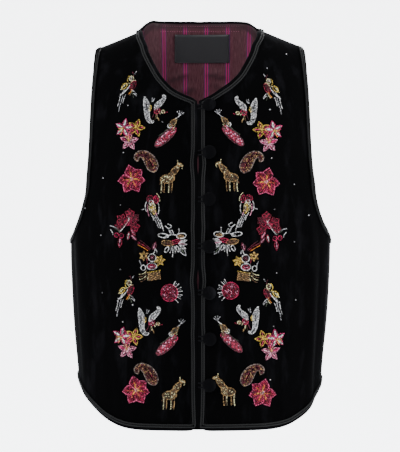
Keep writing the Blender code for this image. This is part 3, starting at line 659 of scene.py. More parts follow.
# How much the back neck roll's inner side is drawn up to its edge
NECK_DRAW, DRAW_REACH = 0.55, 2.5
for name, length in BINDINGS:
    roll = eased(cornered(creased(sewn(softened(welded(name), 2)))))
    for vert in roll.verts:
        vert.co += vert.normal * PLUMP
    if name == "back_neck_binding":
        for vert in roll.verts:
            x = vert.co.x / MM
            edge_height = np.interp(x, neck_across, neck_heights) * MM
            edge_depth = float(np.interp(x, neck_across, neck_depths))
            inner = rising((edge_depth - vert.co.y / MM) / DRAW_REACH)
            vert.co.z += NECK_DRAW * inner * max(edge_height - vert.co.z, 0)
    for vert in roll.verts:
        if vert.co.z < SHOULDER_FOOT:
            vert.co -= outward(vert.co) * SIDE_SINK * math.exp(-(vert.co.y / SINK_REACH) ** 2)
    if "front" in name:
        drawn_together(roll, -1 if name.startswith("right") else 1)
    strip = worn_piece(name + "_roll", roll, (binding_velvet,), "binding", [name])


# The braid's cords: how far in from the edge each lies, radius, height over the cloth, the share of its
# distance that it keeps at corners, how many places it ends short of a seam, and least step
BRAID_LINES = (3.9 * MM, 6.7 * MM)
BRAID_RADIUS, BRAID_LIFT, BRAID_CLEAR, BRAID_TRIM, CORD_STEP = 1.0 * MM, 2.2 * MM, 0.94, 1, 3.0 * MM


def edge_run(ring, start, via, end):
    """The part of a ring of edge places from one corner to another, by way of a third place."""
    def nearest(place):
        return min(range(len(ring)), key=lambda k: (ring[k][0] - Vector(place)).length)
    first = nearest(start)
    turned = ring[first:] + ring[:first]
    by, last = ((nearest(place) - first) % len(ring) for place in (via, end))
    if by > last:
        turned = turned[:1] + turned[:0:-1]
        last = len(ring) - last
    return turned[:last + 1]


def inset_line(run, inset, lift, toward):
    """A line on the cloth at an even distance in from an edge, with no kinks at the corners."""
    places = [place for place, _ in run]

    def inward(k):
        return run[k][1].cross((places[k + 1] - places[k - 1]).normalized()).normalized()
    half_way = len(run) // 2
    turned = math.copysign(1, inward(half_way).dot(Vector(toward) - places[half_way]))
    line = []
    for k in range(1, len(run) - 1):
        place, out = run[k]
        point = place + inward(k) * turned * inset
        if min((point - other).length for other in places[::2]) > BRAID_CLEAR * inset:
            sink = SHOULDER_SINK if point.z > SHOULDER_FOOT else SIDE_SINK
            line.append(point + out * (lift - sink * math.exp(-(point.y / SINK_REACH) ** 2)))
    return line[BRAID_TRIM:-BRAID_TRIM]


def cord_mesh(name, points, radius):
    """A smooth round cord through a line of points, as a mesh."""
    kept = [points[0]]
    for point in points[1:]:
        if (point - kept[-1]).length > CORD_STEP:
            kept.append(point)
    curve = bpy.data.curves.new(name, "CURVE")
    curve.dimensions = "3D"
    curve.bevel_depth = radius
    curve.bevel_resolution = 2
    curve.use_fill_caps = True
    curve.resolution_u = 1
    spline = curve.splines.new("POLY")
    spline.points.add(len(kept) - 1)
    for knot, point in zip(spline.points, kept):
        knot.co = (*point, 1)
    return finished_mesh(placed(name, curve))


braid_cord, braid_tree, braid_shader = shader_nodes("braid_cord", (0.0085, 0.0088, 0.0090), 0.6, 0.15)
braid_shader.inputs["Sheen Weight"].default_value = 0.05
twilled(braid_tree, braid_shader, 0.6, 0.0006, scale=260.0, distortion=1.5, detail=1.0)

CENTRE_EDGES = {-1: -0.006, 1: 0.001}
# Runs of edge that carry a braid: piece, panel, start, a place on the way, end, the panel's middle
BRAIDS = (
    *((f"{word}_front_braid", f"{word}_front", (side * 0.172, 0, -0.50), (CENTRE_EDGES[side], -0.12, -0.4),
       (side * 0.086, 0, 0), (side * 0.09, -0.1, -0.3)) for side, word in SIDES),
    ("back_neck_braid", "back", (-0.086, 0, 0), (0, 0.063, 0.02), (0.086, 0, 0), (0, 0.1, -0.3)),
    ("back_hem_braid", "back", (-0.172, 0, -0.50), (0, 0.105, -0.548), (0.172, 0, -0.50), (0, 0.1, -0.3)),
    *((f"{word}_armhole_braid_{half}", panel.format(word), (side * 0.188, 0, -0.301),
       (side * 0.156, back * 0.05, -0.17), (side * 0.15, 0, -0.026), (side * 0.1, back * 0.1, -0.25))
      for half, panel, back in (("front", "{}_front", -1), ("back", "back", 1)) for side, word in SIDES),
)
for name, panel, start, via, end, toward in BRAIDS:
    braid = bmesh.new()
    run = edge_run(edge_rings[panel], start, via, end)
    for inset in BRAID_LINES:
        braid.from_mesh(cord_mesh(name, inset_line(run, inset, BRAID_LIFT, toward), BRAID_RADIUS))
    bmesh.ops.remove_doubles(braid, verts=braid.verts[:], dist=WELD_GAP)
    worn_piece(name, braid, (braid_cord,), "binding")

# The buttons: a dome of wood under velvet, which is drawn together beneath it round a short shank.
# Small gathers show where the velvet turns under the rim.
BUTTON_RADIUS, BUTTON_RISE = 9.5 * MM, 10.4 * MM
GATHERS, GATHER_DEPTH, GATHER_FROM, UNEVEN = 14, 0.028, 0.45, 0.012
# How far each button leans towards the loops and down on its soft shank, in degrees, from the top
LEANS = ((15, -4), (12, 3), (14, 0), (10, 5), (13, 2), (9, 4), (12, 1))
button_velvet = velvet("button_velvet", (0.003, 0.003, 0.0035), (0.012, 0.012, 0.014), 0.07)
# Half outline of the dome from crown to shank: share of the radius, share of the rise
DOME = ((0, 1.0), (0.25, 0.99), (0.48, 0.955), (0.68, 0.885), (0.84, 0.78), (0.95, 0.67), (1.0, 0.60),
        (0.97, 0.545), (0.84, 0.52), (0.5, 0.53), (0.23, 0.52), (0.23, 0.04))
for k in range(1, 8):
    low, high = (Vector(corner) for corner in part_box(f"button_{k}"))
    middle = (low + high) / 2
    foot, out, _, _ = front_trees[1].ray_cast(Vector((middle.x, -1, middle.z)), Vector((0, 1, 0)))
    dome = bmesh.new()
    profile = [dome.verts.new((share * BUTTON_RADIUS, 0, rise * BUTTON_RISE)) for share, rise in DOME]
    edges = [dome.edges.new(pair) for pair in zip(profile, profile[1:])]
    bmesh.ops.spin(dome, geom=profile + edges, cent=(0, 0, 0), axis=(0, 0, 1), angle=2 * math.pi,
                   steps=42, use_merge=True)
    bmesh.ops.remove_doubles(dome, verts=dome.verts[:], dist=WELD_GAP)
    shank_end = [edge for edge in dome.edges if edge.is_boundary]
    bmesh.ops.edgeloop_fill(dome, edges=shank_end)
    for vert in dome.verts:
        turn = math.atan2(vert.co.y, vert.co.x)
        reach = math.hypot(vert.co.x, vert.co.y) / BUTTON_RADIUS
        outer = max(reach - GATHER_FROM, 0) / (1 - GATHER_FROM)
        vert.co.xy *= 1 + GATHER_DEPTH * math.sin(GATHERS * turn + k) * outer
        vert.co.z *= 1 + UNEVEN * math.sin(3 * turn + 2 * k) * reach
    bmesh.ops.recalc_face_normals(dome, faces=dome.faces[:])
    across, down = (math.radians(lean) for lean in LEANS[k - 1])
    leant = Matrix.Rotation(-across, 4, "Z") @ Matrix.Rotation(down, 4, "X")
    seated = Matrix.Translation(foot) @ leant @ out.to_track_quat("Z", "Y").to_matrix().to_4x4()
    bmesh.ops.transform(dome, matrix=seated, verts=dome.verts[:])
    worn_piece(f"button_{k}_velvet", dome, (button_velvet,), "button", [f"button_{k}"])

# The loops: a rolled cord of velvet, doubled, from under the right front's edge round each shank.
# Both ends of each are sewn in under the edge's binding.
cord_cloth = velvet("cord_cloth", (0.006, 0.006, 0.007), (0.014, 0.014, 0.017), 0.08)
for k in range(1, 8):
    loop = softened(welded(f"loop_{k}"), 1)
    worn_piece(f"loop_{k}_cord", loop, (cord_cloth,), "cord", [f"loop_{k}"])

# The embroidery: birds, flowers, paisleys, giraffes and baskets, sewn bead by bead on the velvet.
# Each form is filled from its outline inwards with rows of seed beads over a low padding, and feathers,
# feet and stems are single strings. Each kind is drawn once and turned over for the other front.
THREADS = {
    "gold": (0.36, 0.22, 0.085),
    "bronze": (0.11, 0.052, 0.02),
    "yellow": (0.72, 0.44, 0.06),
    "cream": (0.74, 0.60, 0.34),
    "silver": (0.42, 0.42, 0.44),
    "sand": (0.24, 0.185, 0.16),
    "white": (0.95, 0.93, 0.93),
    "red": (0.25, 0.002, 0.030),
    "wine": (0.085, 0.002, 0.015),
    "rose": (0.40, 0.004, 0.062),
    "pink": (0.55, 0.012, 0.13),
    "blush": (0.74, 0.24, 0.36),
    "shell": (0.64, 0.08, 0.20),
    "orange": (0.85, 0.22, 0.02),
    "leaf": (0.055, 0.07, 0.045),
}
# The two tones of a bead, in shares of its thread's colour, and what the light one adds: a painted shade and
# a painted glint, picked at random bead by bead, that stand in for the sparkle of glass
BEAD_SHADE, BEAD_LIGHT, BEAD_GLINT = 0.18, 1.6, 0.015
thread_order = list(THREADS)
bead_materials = []
for thread, colour in THREADS.items():
    bead_glass, bead_tree, bead_shader = shader_nodes(thread + "_beads", colour, 0.3, 0.3)
    bead_place = add_node(bead_tree, "ShaderNodeTexCoord").outputs["Object"]
    bead_tone_and_glint = add_node(bead_tree, "ShaderNodeTexNoise", vector=bead_place, scale=520.0, detail=0.0)
    shade = tuple(BEAD_SHADE * channel for channel in colour)
    light = tuple(min(BEAD_LIGHT * channel + BEAD_GLINT, 1) for channel in colour)
    # Painted glint and shade: the noise makes some beads dark and others bright, in place of the glass's
    # sparkle
    bead_share = ramped(bead_tree, bead_tone_and_glint.outputs["Fac"], ((0.40, 0), (0.62, 1)))
    bead_tree.links.new(blend_colours(bead_tree, bead_share, shade, light), bead_shader.inputs["Base Color"])
    bead_materials.append(bead_glass)


def petals(threads, x, y, count, inner, outer, half_width, turn=0):
    """Petals round a middle: rows of a figure's table."""
    rows = []
    for k in range(count):
        lean = turn + 360 * k / count
        far = (inner + outer) / 2
        rows.append(("petal", threads, x + far * math.sin(math.radians(lean)),
                     y + far * math.cos(math.radians(lean)), half_width, (outer - inner) / 2, lean))
    return tuple(rows)


def rays(threads, x, y, leans, inner, outer, form="string"):
    """Strings of beads that spread from a middle: rows of a figure's table."""
    return tuple((form, threads, x + (inner + outer) / 2 * math.sin(math.radians(lean)),
                  y + (inner + outer) / 2 * math.cos(math.radians(lean)), 0, (outer - inner) / 2, lean)
                 for lean in leans)


# Rows of each table: form, threads of its edge, filling and specks, then in millimetres across
# towards the centre front, up, half width (a string's bow), half height, and its lean towards the
# centre in degrees. A row that names no form is a string of single beads
PARROT = (
    ("silver", 13, 26, 0, 1.6, 30),
    ("wine", 9.5, 24, 0.5, 2.6, -20),
    ("oval", "cream bronze white", 7.2, 17.6, 3.0, 3.4, 0),
    ("yellow", 3.4, 16.5, -1.8, 4.6, 6),
    ("cream", 10, 13.5, -0.8, 3, 68),
    ("cream", 3.6, 10.6, 0.4, 3, 80),
    ("oval", "red wine red", 9.5, 7.4, 3.6, 7.2, 22),
    ("oval", "yellow cream gold", -2.6, 6.8, 2.8, 4.8, 40),
    ("cream", -6, 4.8, 0.4, 3, 30),
    ("white", -1.6, 0.8, 0.8, 9.4, 44),
    ("white", 0.4, 1.8, 0.6, 7.4, 40),
    ("silver", -5.6, -2.4, 0.6, 6, 34),
    ("orange", 5.6, -1.8, 0.4, 4, 32),
    ("cream", 6.8, -3.4, 0.4, 3.2, 30),
    ("white", -9.8, -12.8, 0.6, 8.4, 12),
    ("silver", -6.4, -13.2, 0.4, 7.4, 15),
    ("white", -2.8, -11.6, -0.4, 5.6, 17),
    ("silver", -9.6, -25, 0.2, 4.2, 8),
    ("silver", 11.6, -2.6, 0.6, 4.6, -42),
    ("white", 12.4, -6, 0.4, 2.6, -50),
    ("leaf", 9.6, -7, 0.3, 3, -20),
)
SWALLOW = (
    ("wing", "white silver white", -11, 0, 4.2, 18.2, 2),
    ("wing", "white silver white", 6.4, 9.4, 3.6, 11.2, 232),
    ("silver", -4.4, 14, 0.2, 2.6, 8),
    ("silver", -2.4, 13.6, 0.2, 2.2, 30),
    ("oval", "rose red blush", 2.6, -1.6, 3.8, 4.2, 20),
    ("oval", "yellow cream", -7.2, 2.4, 1.8, 3.6, 10),
    ("wine", -2.4, -6.4, 0.6, 5.4, 20),
    ("bronze", 0.4, -8.4, 0.6, 5.0, 6),
    ("cream", 2.6, -9.6, 0.3, 2.4, -4),
    ("gold", 4.6, -13.4, 0.2, 2.0, -20),
    ("cream", 6.0, -4.6, 0.3, 2.2, -30),
    ("oval", "cream gold", 11, -3, 2.4, 2.0, 0),
    ("red", 15, -4.2, 0.2, 1.8, 76),
    ("wine", 7.8, -4, 0.2, 2, 80),
)
PEACOCK = (
    *rays("silver", 15.4, 19.4, (-34, -6, 24, 52), 1.0, 6.5),
    ("white", 12, 17.2, 0.5, 3, 52),
    ("petal", "gold bronze leaf", 6.2, 9.6, 3.4, 7.4, 40),
    ("leaf", 10.6, 7.4, -1.8, 7, 16),
    ("oval", "white cream", 1.4, 5.0, 3.0, 2.6, 30),
    ("cream", 7.8, 3.6, 0.3, 2, 40),
    ("oval", "rose bronze blush", 6.8, -0.6, 3.4, 3.6, 40),
    ("sequins", "wine red blush", -4.6, -10.8, 5.8, 18.6, 48),
    ("pink", -6.6, -12.4, 0.4, 12, 48),
    ("leaf", -7.4, -3.4, 0.8, 8, 52),
)
LILY = (
    *petals("pink white", -8.4, 10, 5, 1, 12.8, 3.0, 12),
    *petals("yellow pink", 9.0, 10, 5, 1, 11.8, 2.9, 18),
    *petals("blush pink", -1, -8.4, 5, 1, 12.8, 3.0, 4),
    *rays("yellow", -8.4, 10, (160, 205, 235, 262), 0, 7, "vein"),
    *rays("yellow", 9.0, 10, (-30, 22, 200), 0, 6, "vein"),
    *rays("yellow", -1, -8.4, (-36, -4, 30), 0, 7, "vein"),
    *rays("white", -1, -8.4, (76, 148, 220), 3, 10, "vein"),
    ("oval", "red rose", 1.6, 4.4, 3.2, 3.8, 0),
    ("pink", -3.4, 12.4, 0.3, 4, 20),
    ("orange", -11.4, 3.6, 0.3, 3.4, 30),
)
PAISLEY = (
    ("drop", "sand wine gold", 3.6, -2.4, 8.2, 17.4, -19),
    ("inner drop", "bronze", 3.6, -2.4, 6.4, 16.2, -19),
    ("rose", 6.4, -7, 0.8, 7, -26),
)
HIBISCUS = (
    *(row for lean, reach in ((-13, 18.4), (47, 17.4), (98, 17), (150, 18.6), (209, 19.6), (262, 18))
      for row in petals("shell red rose", 0, 0, 1, 0.5, reach + 1, 7.2, lean)),
    *rays("orange", 0, 0, (-13, 47, 98, 150, 209, 262), 3, 11, "vein"),
    *rays("yellow", 0, 0, (-4, 90, 216), 2, 8, "vein"),
    ("oval", "white silver", 0, 0, 2.4, 2.4, 0),
)
GIRAFFE = (
    ("oval", "gold bronze cream", -5.8, -2.2, 9.6, 5.6, -4),
    ("oval", "gold bronze cream", -0.6, 1.6, 4.2, 5.4, 20),
    ("petal", "gold bronze cream", 4.2, 8.8, 4.0, 11.0, 219),
    ("oval", "gold cream", 11.6, 17.4, 1.7, 3.9, 112),
    ("cream", 8.8, 20.4, 0, 2.0, -16),
    ("cream", 14.6, 13.8, 0.3, 1.8, 10),
    ("cream", -14.4, -13.4, 0.5, 7.6, 2),
    ("bronze", -12.2, -12.6, -0.4, 6.6, -2),
    ("gold", -10.2, -13, 0.4, 7.4, 0),
    ("cream", -4.2, -13, 0.4, 7.6, 0),
    ("bronze", -2.2, -12.4, -0.3, 6.4, 0),
    ("gold", 0.4, -12.8, 0.4, 8.0, 4),
    ("bronze", -15.4, -5, 0.8, 4.6, 8),
)
BUDGIE = (
    ("oval", "red wine rose", -6.4, 17.6, 4.6, 4.2, -10),
    ("oval", "rose red orange", 1.6, 16.4, 2.8, 5.0, -8),
    ("cream", 4.6, 19.4, 1.4, 5.4, -22),
    ("edge", "white", -5, 12.6, 2.8, 2.8, 0),
    ("white", -11.6, 6.6, -1.6, 6.4, 0),
    ("white", 4.4, 4.6, 1.4, 7.4, -2),
    ("blush", -9, 1.4, -1.0, 7.6, -8),
    ("oval", "cream yellow white", -3.6, 5.4, 4.2, 6.4, -6),
    ("oval", "yellow gold bronze", -1.6, 1.6, 2.6, 5.0, -12),
    ("blush", 1.4, -3.4, 0.4, 4.4, -24),
    ("white", -3.6, -7.4, 0.4, 5.4, -26),
    ("silver", 1.4, -14.4, 0.4, 8.4, -24),
    ("white", 3.8, -13.8, 0.4, 9.4, -24),
    ("silver", 6.2, -14, 0.4, 9.4, -24),
    ("white", 9.6, -19.4, 0.3, 7.4, -18),
    ("silver", -15.4, 3.4, 0.3, 2.4, 70),
)
BLOSSOM = (
    *petals("red wine", 5, 20, 5, 0.5, 6.5, 2.5, 0),
    *petals("red wine", -6, 12, 5, 0.5, 7.5, 2.6, 20),
    *petals("wine red", 12, 14, 5, 0.5, 6.5, 2.4, 50),
    *petals("red wine", 12, 2, 5, 0.5, 7, 2.5, 10),
    *petals("rose red", 3, 8, 4, 0.5, 6, 2.3, 40),
    *petals("red wine", -9, 3, 4, 0.5, 6, 2.4, 10),
    ("petal", "red blush", 10, -5.6, 1.9, 5, -34),
    ("petal", "red white", 3.4, -10.6, 1.9, 5, 12),
    ("petal", "wine blush", 11, -13, 1.9, 5, -44),
    ("oval", "rose wine pink", -13.4, -9.6, 2.8, 3.0, 0),
    ("oval", "rose wine pink", -6.4, -10.4, 2.8, 3.0, 0),
    ("petal", "red blush", -8.4, -19.6, 2.6, 6.6, 6),
    ("white", -1.6, 4.4, 0.8, 11.6, 36),
    ("leaf", -3.4, 3.6, 0.8, 11, 38),
    ("white", 3.2, 12.8, 0.4, 3.4, -20),
    ("silver", -17, 1.2, 0.6, 5.6, -68),
    ("leaf", -12, -2.6, 0.4, 4.4, -64),
    ("white", -20, -5.4, 0.6, 3.6, -30),
)
DAISY = (
    ("white", -5.6, 20.4, 0.4, 2.4, -60),
    ("silver", -5, 17, 0.6, 2.4, 60),
    ("white", -8.6, 14.4, 1.2, 5.4, -34),
    ("silver", -6, 12, 1.0, 4.4, -30),
    ("white", -1.4, 10.2, 0.6, 3, -20),
    ("white", 6.6, 11.4, 0.5, 3.4, 8),
    ("edge", "white", -14.4, 5.8, 7.2, 2.8, 8),
    ("edge", "white", 10.4, 5.4, 6.6, 3.6, -8),
    ("white", -3.6, 5.4, -1.4, 8.6, 84),
    ("oval", "gold bronze", 9.4, 4.6, 4.0, 1.6, -8),
    ("oval", "gold bronze wine", -8.4, -4.6, 8.4, 3.6, 8),
    ("oval", "rose red wine", 2.4, -2.6, 7.4, 2.6, -14),
    ("petal", "white blush", 12, -5.6, 1.8, 5.6, 96),
    ("petal", "white silver", 13, -2, 1.6, 5.0, 74),
    ("petal", "white", 12, -9.6, 1.6, 5.0, 124),
    ("edge", "white", -9.6, -13.4, 2.2, 4.2, 30),
    ("white", -4.4, -13, 0.8, 4.6, 8),
    ("white", -1.6, -16.4, 0.4, 6.8, 2),
    ("white", 1.6, -13.4, 0.4, 4.2, -8),
    ("edge", "white", 5.2, -12.4, 1.8, 4.2, -20),
    ("petal", "silver leaf", 12.6, -16, 2.9, 6.6, -36),
)
BASKET = (
    ("red", -8, 21.4, 0.6, 9.4, -56),
    ("orange", -9.4, 19, 0.4, 7.4, -60),
    ("wine", -6.4, 23.4, 0.6, 9, -50),
    ("red", -12, 23.4, 0.4, 5, -72),
    ("petal", "wine blush", 6.4, 21.4, 2.6, 5.4, 20),
    ("white", 6, 14.4, 0.8, 3.4, 20),
    ("silver", 8.6, 14.8, 0.8, 3.0, -24),
    *petals("gold yellow", -8.2, 8, 6, 1.5, 6.4, 1.3, 0),
    *petals("yellow gold", 13.6, 1.4, 6, 1.5, 7, 1.4, 20),
    ("red", -4.4, 2.4, 0.4, 4.4, -12),
    ("edge", "white", 3.4, 5.4, 5.2, 5.2, 0),
    ("oval", "wine blush", 3.4, 5.4, 2.4, 2.4, 0),
    ("edge", "white", 2.8, -6.4, 6.6, 4.6, 0),
    ("oval", "rose blush red", 2.8, -7, 4.4, 2.6, 0),
    ("edge", "white", -9, -8.4, 3.2, 3.6, 0),
    ("silver", -13, -2.4, 0.4, 3.4, -20),
    ("net", "gold bronze", 6, -19.4, 8.0, 5.4, -8),
    ("yellow", 5.4, -13.4, 0.4, 8.6, 80),
    ("cream", -2.6, -20, 0.4, 5.0, 6),
    ("cream", -9.6, -15.4, 1.4, 5.4, 64),
    ("bronze", -10, -18.6, 1.4, 5.4, 62),
    ("cream", -9.6, -21.8, 1.4, 5.2, 58),
    ("bronze", -8.8, -25, 1.2, 4.6, 54),
)
POMPOM = (
    ("oval", "rose red blush", -3, 0, 11.4, 11.6, 0),
    *rays("white", -3, 0, (28, 46, 64, 82, 100, 118, 138), 12.4, 17.5),
    *rays("silver", -3, 0, (37, 73, 109), 12, 16),
)
# The table of each kind, and the slot of the beads that it shows most
KINDS = {
    "parrot": (PARROT, "gold_beads"), "swallow": (SWALLOW, "silver_beads"),
    "peacock": (PEACOCK, "pink_beads"), "lily": (LILY, "cream_beads"), "paisley": (PAISLEY, "red_beads"),
    "hibiscus": (HIBISCUS, "red_beads"), "giraffe": (GIRAFFE, "gold_beads"),
    "budgie": (BUDGIE, "cream_beads"), "daisy": (DAISY, "silver_beads"), "basket": (BASKET, "gold_beads"),
    "pompom": (POMPOM, "pink_beads"), "blossom": (BLOSSOM, "red_beads"),
}
chance = random.Random(19)

# Steps from bead to bead in an outline and in a filling, and from row to row, in millimetres; some forms
# are filled closer
BEAD_STEP, FILL_STEP, ROW_STEP = 1.6, 1.95, 2.0
CLOSE_ROWS = {"wing": 1.4, "drop": 1.6}
# Shares of the full padding under a string, a vein and a net
STRING_LIFT, VEIN_LIFT, NET_LIFT = 0.15, 1.5, 0.6
SPECK_SHARE, LEAST_WIDTH = 0.3, 0.5
# A petal's curve above and below its middle, and how far that lies towards the tip
PETAL_ABOVE, PETAL_BELOW, PETAL_RISE = 1.15, 2.2, 0.12
# Spines of the bent forms: across and up in shares of the half height, then shares of the half width
SPINES = {
    "drop": ((0.02, -1.0, 0.1), (0.05, -0.9, 0.55), (0.07, -0.64, 0.92), (0.06, -0.3, 1.0),
             (0.0, 0.06, 0.95), (-0.13, 0.4, 0.78), (-0.36, 0.68, 0.6), (-0.66, 0.76, 0.47),
             (-0.9, 0.62, 0.42), (-0.95, 0.4, 0.3), (-0.9, 0.28, 0.06)),
    "wing": ((-0.24, 1.0, 0.08), (-0.16, 0.72, 0.66), (-0.06, 0.4, 1.0), (-0.02, 0.04, 0.92),
             (0.0, -0.36, 0.74), (0.07, -0.7, 0.62), (0.25, -0.92, 0.5), (0.44, -0.92, 0.36),
             (0.54, -0.84, 0.08)),
}


def outline(form, half_width, half_height, inset):
    """Closed outline of one form, drawn in by an inset, as places from its middle; none if too small."""
    if form.split()[-1] in SPINES:
        spine = np.array(SPINES[form.split()[-1]])
        fine = np.linspace(0, len(spine) - 1, 41)
        across, up, wide = (np.interp(fine, range(len(spine)), column) for column in spine.T)
        for _ in range(3):
            for line in (across, up):
                line[1:-1] = (line[:-2] + 2 * line[1:-1] + line[2:]) / 4
        line = np.stack((across, up), axis=1) * half_height
        way = np.gradient(line, axis=0)
        way /= np.linalg.norm(way, axis=1)[:, None]
        reach = wide * half_width - inset
        shown = reach > 0
        if shown.sum() < 3:
            return []
        offset = np.stack((way[:, 1], -way[:, 0]), axis=1) * reach[:, None]
        return [Vector(place) for place in (*(line + offset)[shown], *(line - offset)[shown][::-1])]
    wide, tall = half_width - inset, half_height - inset
    if min(wide, tall) < LEAST_WIDTH:
        return []
    places = []
    for turn in (2 * math.pi * k / 40 for k in range(40)):
        side, up = math.sin(turn), math.cos(turn)
        if form == "petal":
            side = math.copysign(max(1 - abs(up) ** (PETAL_ABOVE if up > 0 else PETAL_BELOW), 0), side)
            up += PETAL_RISE * (1 - up * up)
        places.append(Vector((wide * side, tall * up)))
    return places


def even_places(line, step, closed):
    """Places at even steps along a line, with the line's heading at each."""
    line = line + line[:1] if closed else line
    lengths = np.cumsum([0.0] + [(b - a).length for a, b in zip(line, line[1:])])
    count = max(round(lengths[-1] / step), 1)
    for spot in np.linspace(0, lengths[-1], count if closed else count + 1, endpoint=not closed):
        k = min(int(np.searchsorted(lengths, spot, side="right")) - 1, len(line) - 2)
        share = (spot - lengths[k]) / max(lengths[k + 1] - lengths[k], 1e-9)
        yield line[k].lerp(line[k + 1], share), line[k + 1] - line[k]


def bead_plan(row):
    """Every bead of one row of a figure's table: place, heading, padding, thread and kind."""
    form, threads, x, y, half_width, half_height, lean = row if len(row) == 7 else ("string", *row)
    threads = threads.split()
    edge, fill, speck = threads[0], threads[min(1, len(threads) - 1)], threads[-1]
    turn = Matrix.Rotation(math.radians(-lean), 2)
    middle = Vector((x, y))
    plan = []
    if form in ("string", "vein"):
        line = [Vector((half_width * (1 - t * t), half_height * t)) for t in np.linspace(-1, 1, 9)]
        for place, heading in even_places(line, BEAD_STEP, False):
            plan.append((place, heading, VEIN_LIFT if form == "vein" else STRING_LIFT, edge, form))
    elif form == "net":
        for k, level in enumerate(np.arange(-half_height, half_height + 0.1, BEAD_STEP)):
            line = [Vector((-half_width, level)), Vector((half_width, level))]
            for j, (place, heading) in enumerate(even_places(line, BEAD_STEP, False)):
                plan.append((place, heading, NET_LIFT, edge if (j // 2 + k) % 2 else fill, form))
    else:
        single = form == "edge" or form.startswith("inner")
        row_step = CLOSE_ROWS.get(form, ROW_STEP)
        rows = 1 if single else max(1, round(min(half_width, half_height) / row_step))
        for k in range(rows):
            inside = k / rows
            line = outline(form, half_width, half_height, k * row_step)
            if not line:
                break
            for place, heading in even_places(line, FILL_STEP if k else BEAD_STEP, True):
                thread = edge if k == 0 else speck if chance.random() < SPECK_SHARE else fill
                plan.append((place, heading, math.sqrt(1 - (1 - inside) ** 2), thread, form))
        if not single and form not in SPINES:
            narrow = min(half_width, half_height)
            spine = max(half_width, half_height) - narrow
            ends = Vector((0, spine)) if half_height > half_width else Vector((spine, 0))
            for place, heading in even_places([-ends, ends + Vector((0.01, 0.01))], BEAD_STEP, False):
                plan.append((place, heading, 1.0, fill, form))
    return [(middle + turn @ place, turn @ heading, *rest) for place, heading, *rest in plan]


# The beads: radius, its range, the share of it in strings, and how far it stands off its ground
BEAD, BEAD_RANGE, STRING_BEAD, BEAD_STAND = 0.84 * MM, (0.92, 1.08), 0.88, 0.75
PADDING, GROUND = 0.9 * MM, 0.1 * MM
# A cup sequin: radius at its foot and top, thickness, and the most that it tilts
SEQUIN_FOOT, SEQUIN_TOP, SEQUIN_DEPTH, SEQUIN_TILT = 1.08 * MM, 0.7425 * MM, 0.35 * MM, 0.3


def sew(bm, side, across, height, plan):
    """Sews each bead of a plan on a front, standing on the cloth under it."""
    for place, heading, padding, thread, kind in plan:
        aim = Vector((side * (across - place.x) * MM, -1, (height + place.y) * MM))
        spot, out, _, _ = front_trees[side].ray_cast(aim, Vector((0, 1, 0)))
        if spot is None:
            continue
        along = Vector((-side * heading.x, 0, heading.y))
        along = (along - out * along.dot(out)).normalized()
        turned = Matrix((along.cross(out), along, out)).transposed().to_4x4()
        size = BEAD * chance.uniform(*BEAD_RANGE) * (STRING_BEAD if kind in ("string", "vein") else 1)
        seat = Matrix.Translation(spot + out * (GROUND + PADDING * padding + BEAD_STAND * size)) @ turned
        if kind == "sequins":
            tilts = [Matrix.Rotation(chance.uniform(-SEQUIN_TILT, SEQUIN_TILT), 4, axis) for axis in "XY"]
            made = bmesh.ops.create_cone(bm, cap_ends=True, segments=8, radius1=SEQUIN_FOOT,
                                         radius2=SEQUIN_TOP, depth=SEQUIN_DEPTH,
                                         matrix=seat @ (tilts[0] @ tilts[1]))
        else:
            made = bmesh.ops.create_icosphere(bm, subdivisions=1, radius=1.0,
                                              matrix=seat @ Matrix.Diagonal((size, size, size, 1)))
        index = thread_order.index(thread)
        for vert in made["verts"]:
            for face in vert.link_faces:
                face.material_index = index


def used_materials(bm):
    """Renumbers a figure's faces so that it carries only the beads that are on it."""
    used = sorted({face.material_index for face in bm.faces})
    for face in bm.faces:
        face.material_index = used.index(face.material_index)
    return [bead_materials[k] for k in used]


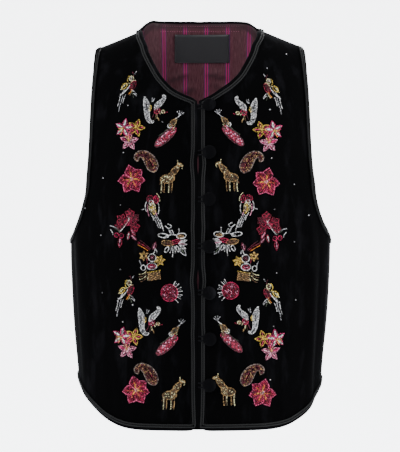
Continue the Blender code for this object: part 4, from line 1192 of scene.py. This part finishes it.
# Kind, number of its solid or 0 where it has none, and its place on each front: across, height
FIGURES = (
    ("parrot", 1, -103, -94, 103, -98),
    ("swallow", 2, -62, -122, 63, -124),
    ("peacock", 3, -43, -150, 41, -148),
    ("lily", 4, -97, -157, 94, -160),
    ("paisley", 5, -73, -190, 70, -191),
    ("hibiscus", 6, -94, -218, 91, -222),
    ("giraffe", 7, -39, -216, 37, -214),
    ("budgie", 8, -62, -263, 61, -262),
    ("blossom", 0, -102, -286, 97, -290),
    ("daisy", 9, -36, -302, 36, -300),
    ("basket", 10, -69, -332, 66, -333),
    ("parrot", 11, -105, -379, 102, -384),
    ("pompom", 12, -39, -375, 39, -372),
    ("swallow", 13, -69, -415, 65, -413),
    ("peacock", 14, -41, -437, 39, -433),
    ("lily", 15, -100, -446, 97, -449),
    ("paisley", 16, -73, -484, 71, -485),
    ("hibiscus", 17, -88, -510, 86, -514),
    ("giraffe", 0, -36, -514, 33, -509),
)
for kind, number, right_across, right_height, left_across, left_height in FIGURES:
    for (side, word), across, height in zip(SIDES, (-right_across, left_across),
                                            (right_height, left_height)):
        figure = bmesh.new()
        table, slot = KINDS[kind]
        for row in table:
            sew(figure, side, across, height, bead_plan(row))
        stands_for = [f"{word}_{kind}_{number}"] if number else []
        name = f"{word}_{kind}_{number or -height}_beads"
        materials = used_materials(figure)
        worn_piece(name, figure, materials, slot, stands_for)

# Single silver beads, sewn here and there on the velvet between the figures.
# Each is a little larger than a seed bead and stands on the pile.
SINGLE_BEAD, SINGLE_STAND = 0.95 * MM, 0.7
# Across and height on the right front, then on the left front, in millimetres
SINGLES = {
    -1: ((-100, -115), (-52, -139), (-106, -181), (-60, -203), (-135, -216), (-110, -254), (-161, -258),
         (-138, -296), (-110, -343), (-97, -364), (-136, -376), (-93, -392), (-107, -416)),
    1: ((123, -38), (94, -61), (97, -121), (99, -189), (131, -225), (103, -260), (152, -268), (131, -305),
        (106, -348), (133, -386), (102, -422), (97, -496)),
}
for side, word in SIDES:
    singles = bmesh.new()
    for x, z in SINGLES[side]:
        spot, out, _, _ = front_trees[side].ray_cast(Vector((x * MM, -1, z * MM)), Vector((0, 1, 0)))
        seat = Matrix.Translation(spot + out * SINGLE_BEAD * SINGLE_STAND)
        bmesh.ops.create_icosphere(singles, subdivisions=2, radius=SINGLE_BEAD, matrix=seat)
    worn_piece(f"{word}_single_beads", singles, (bead_materials[thread_order.index("silver")],),
               "silver_beads")
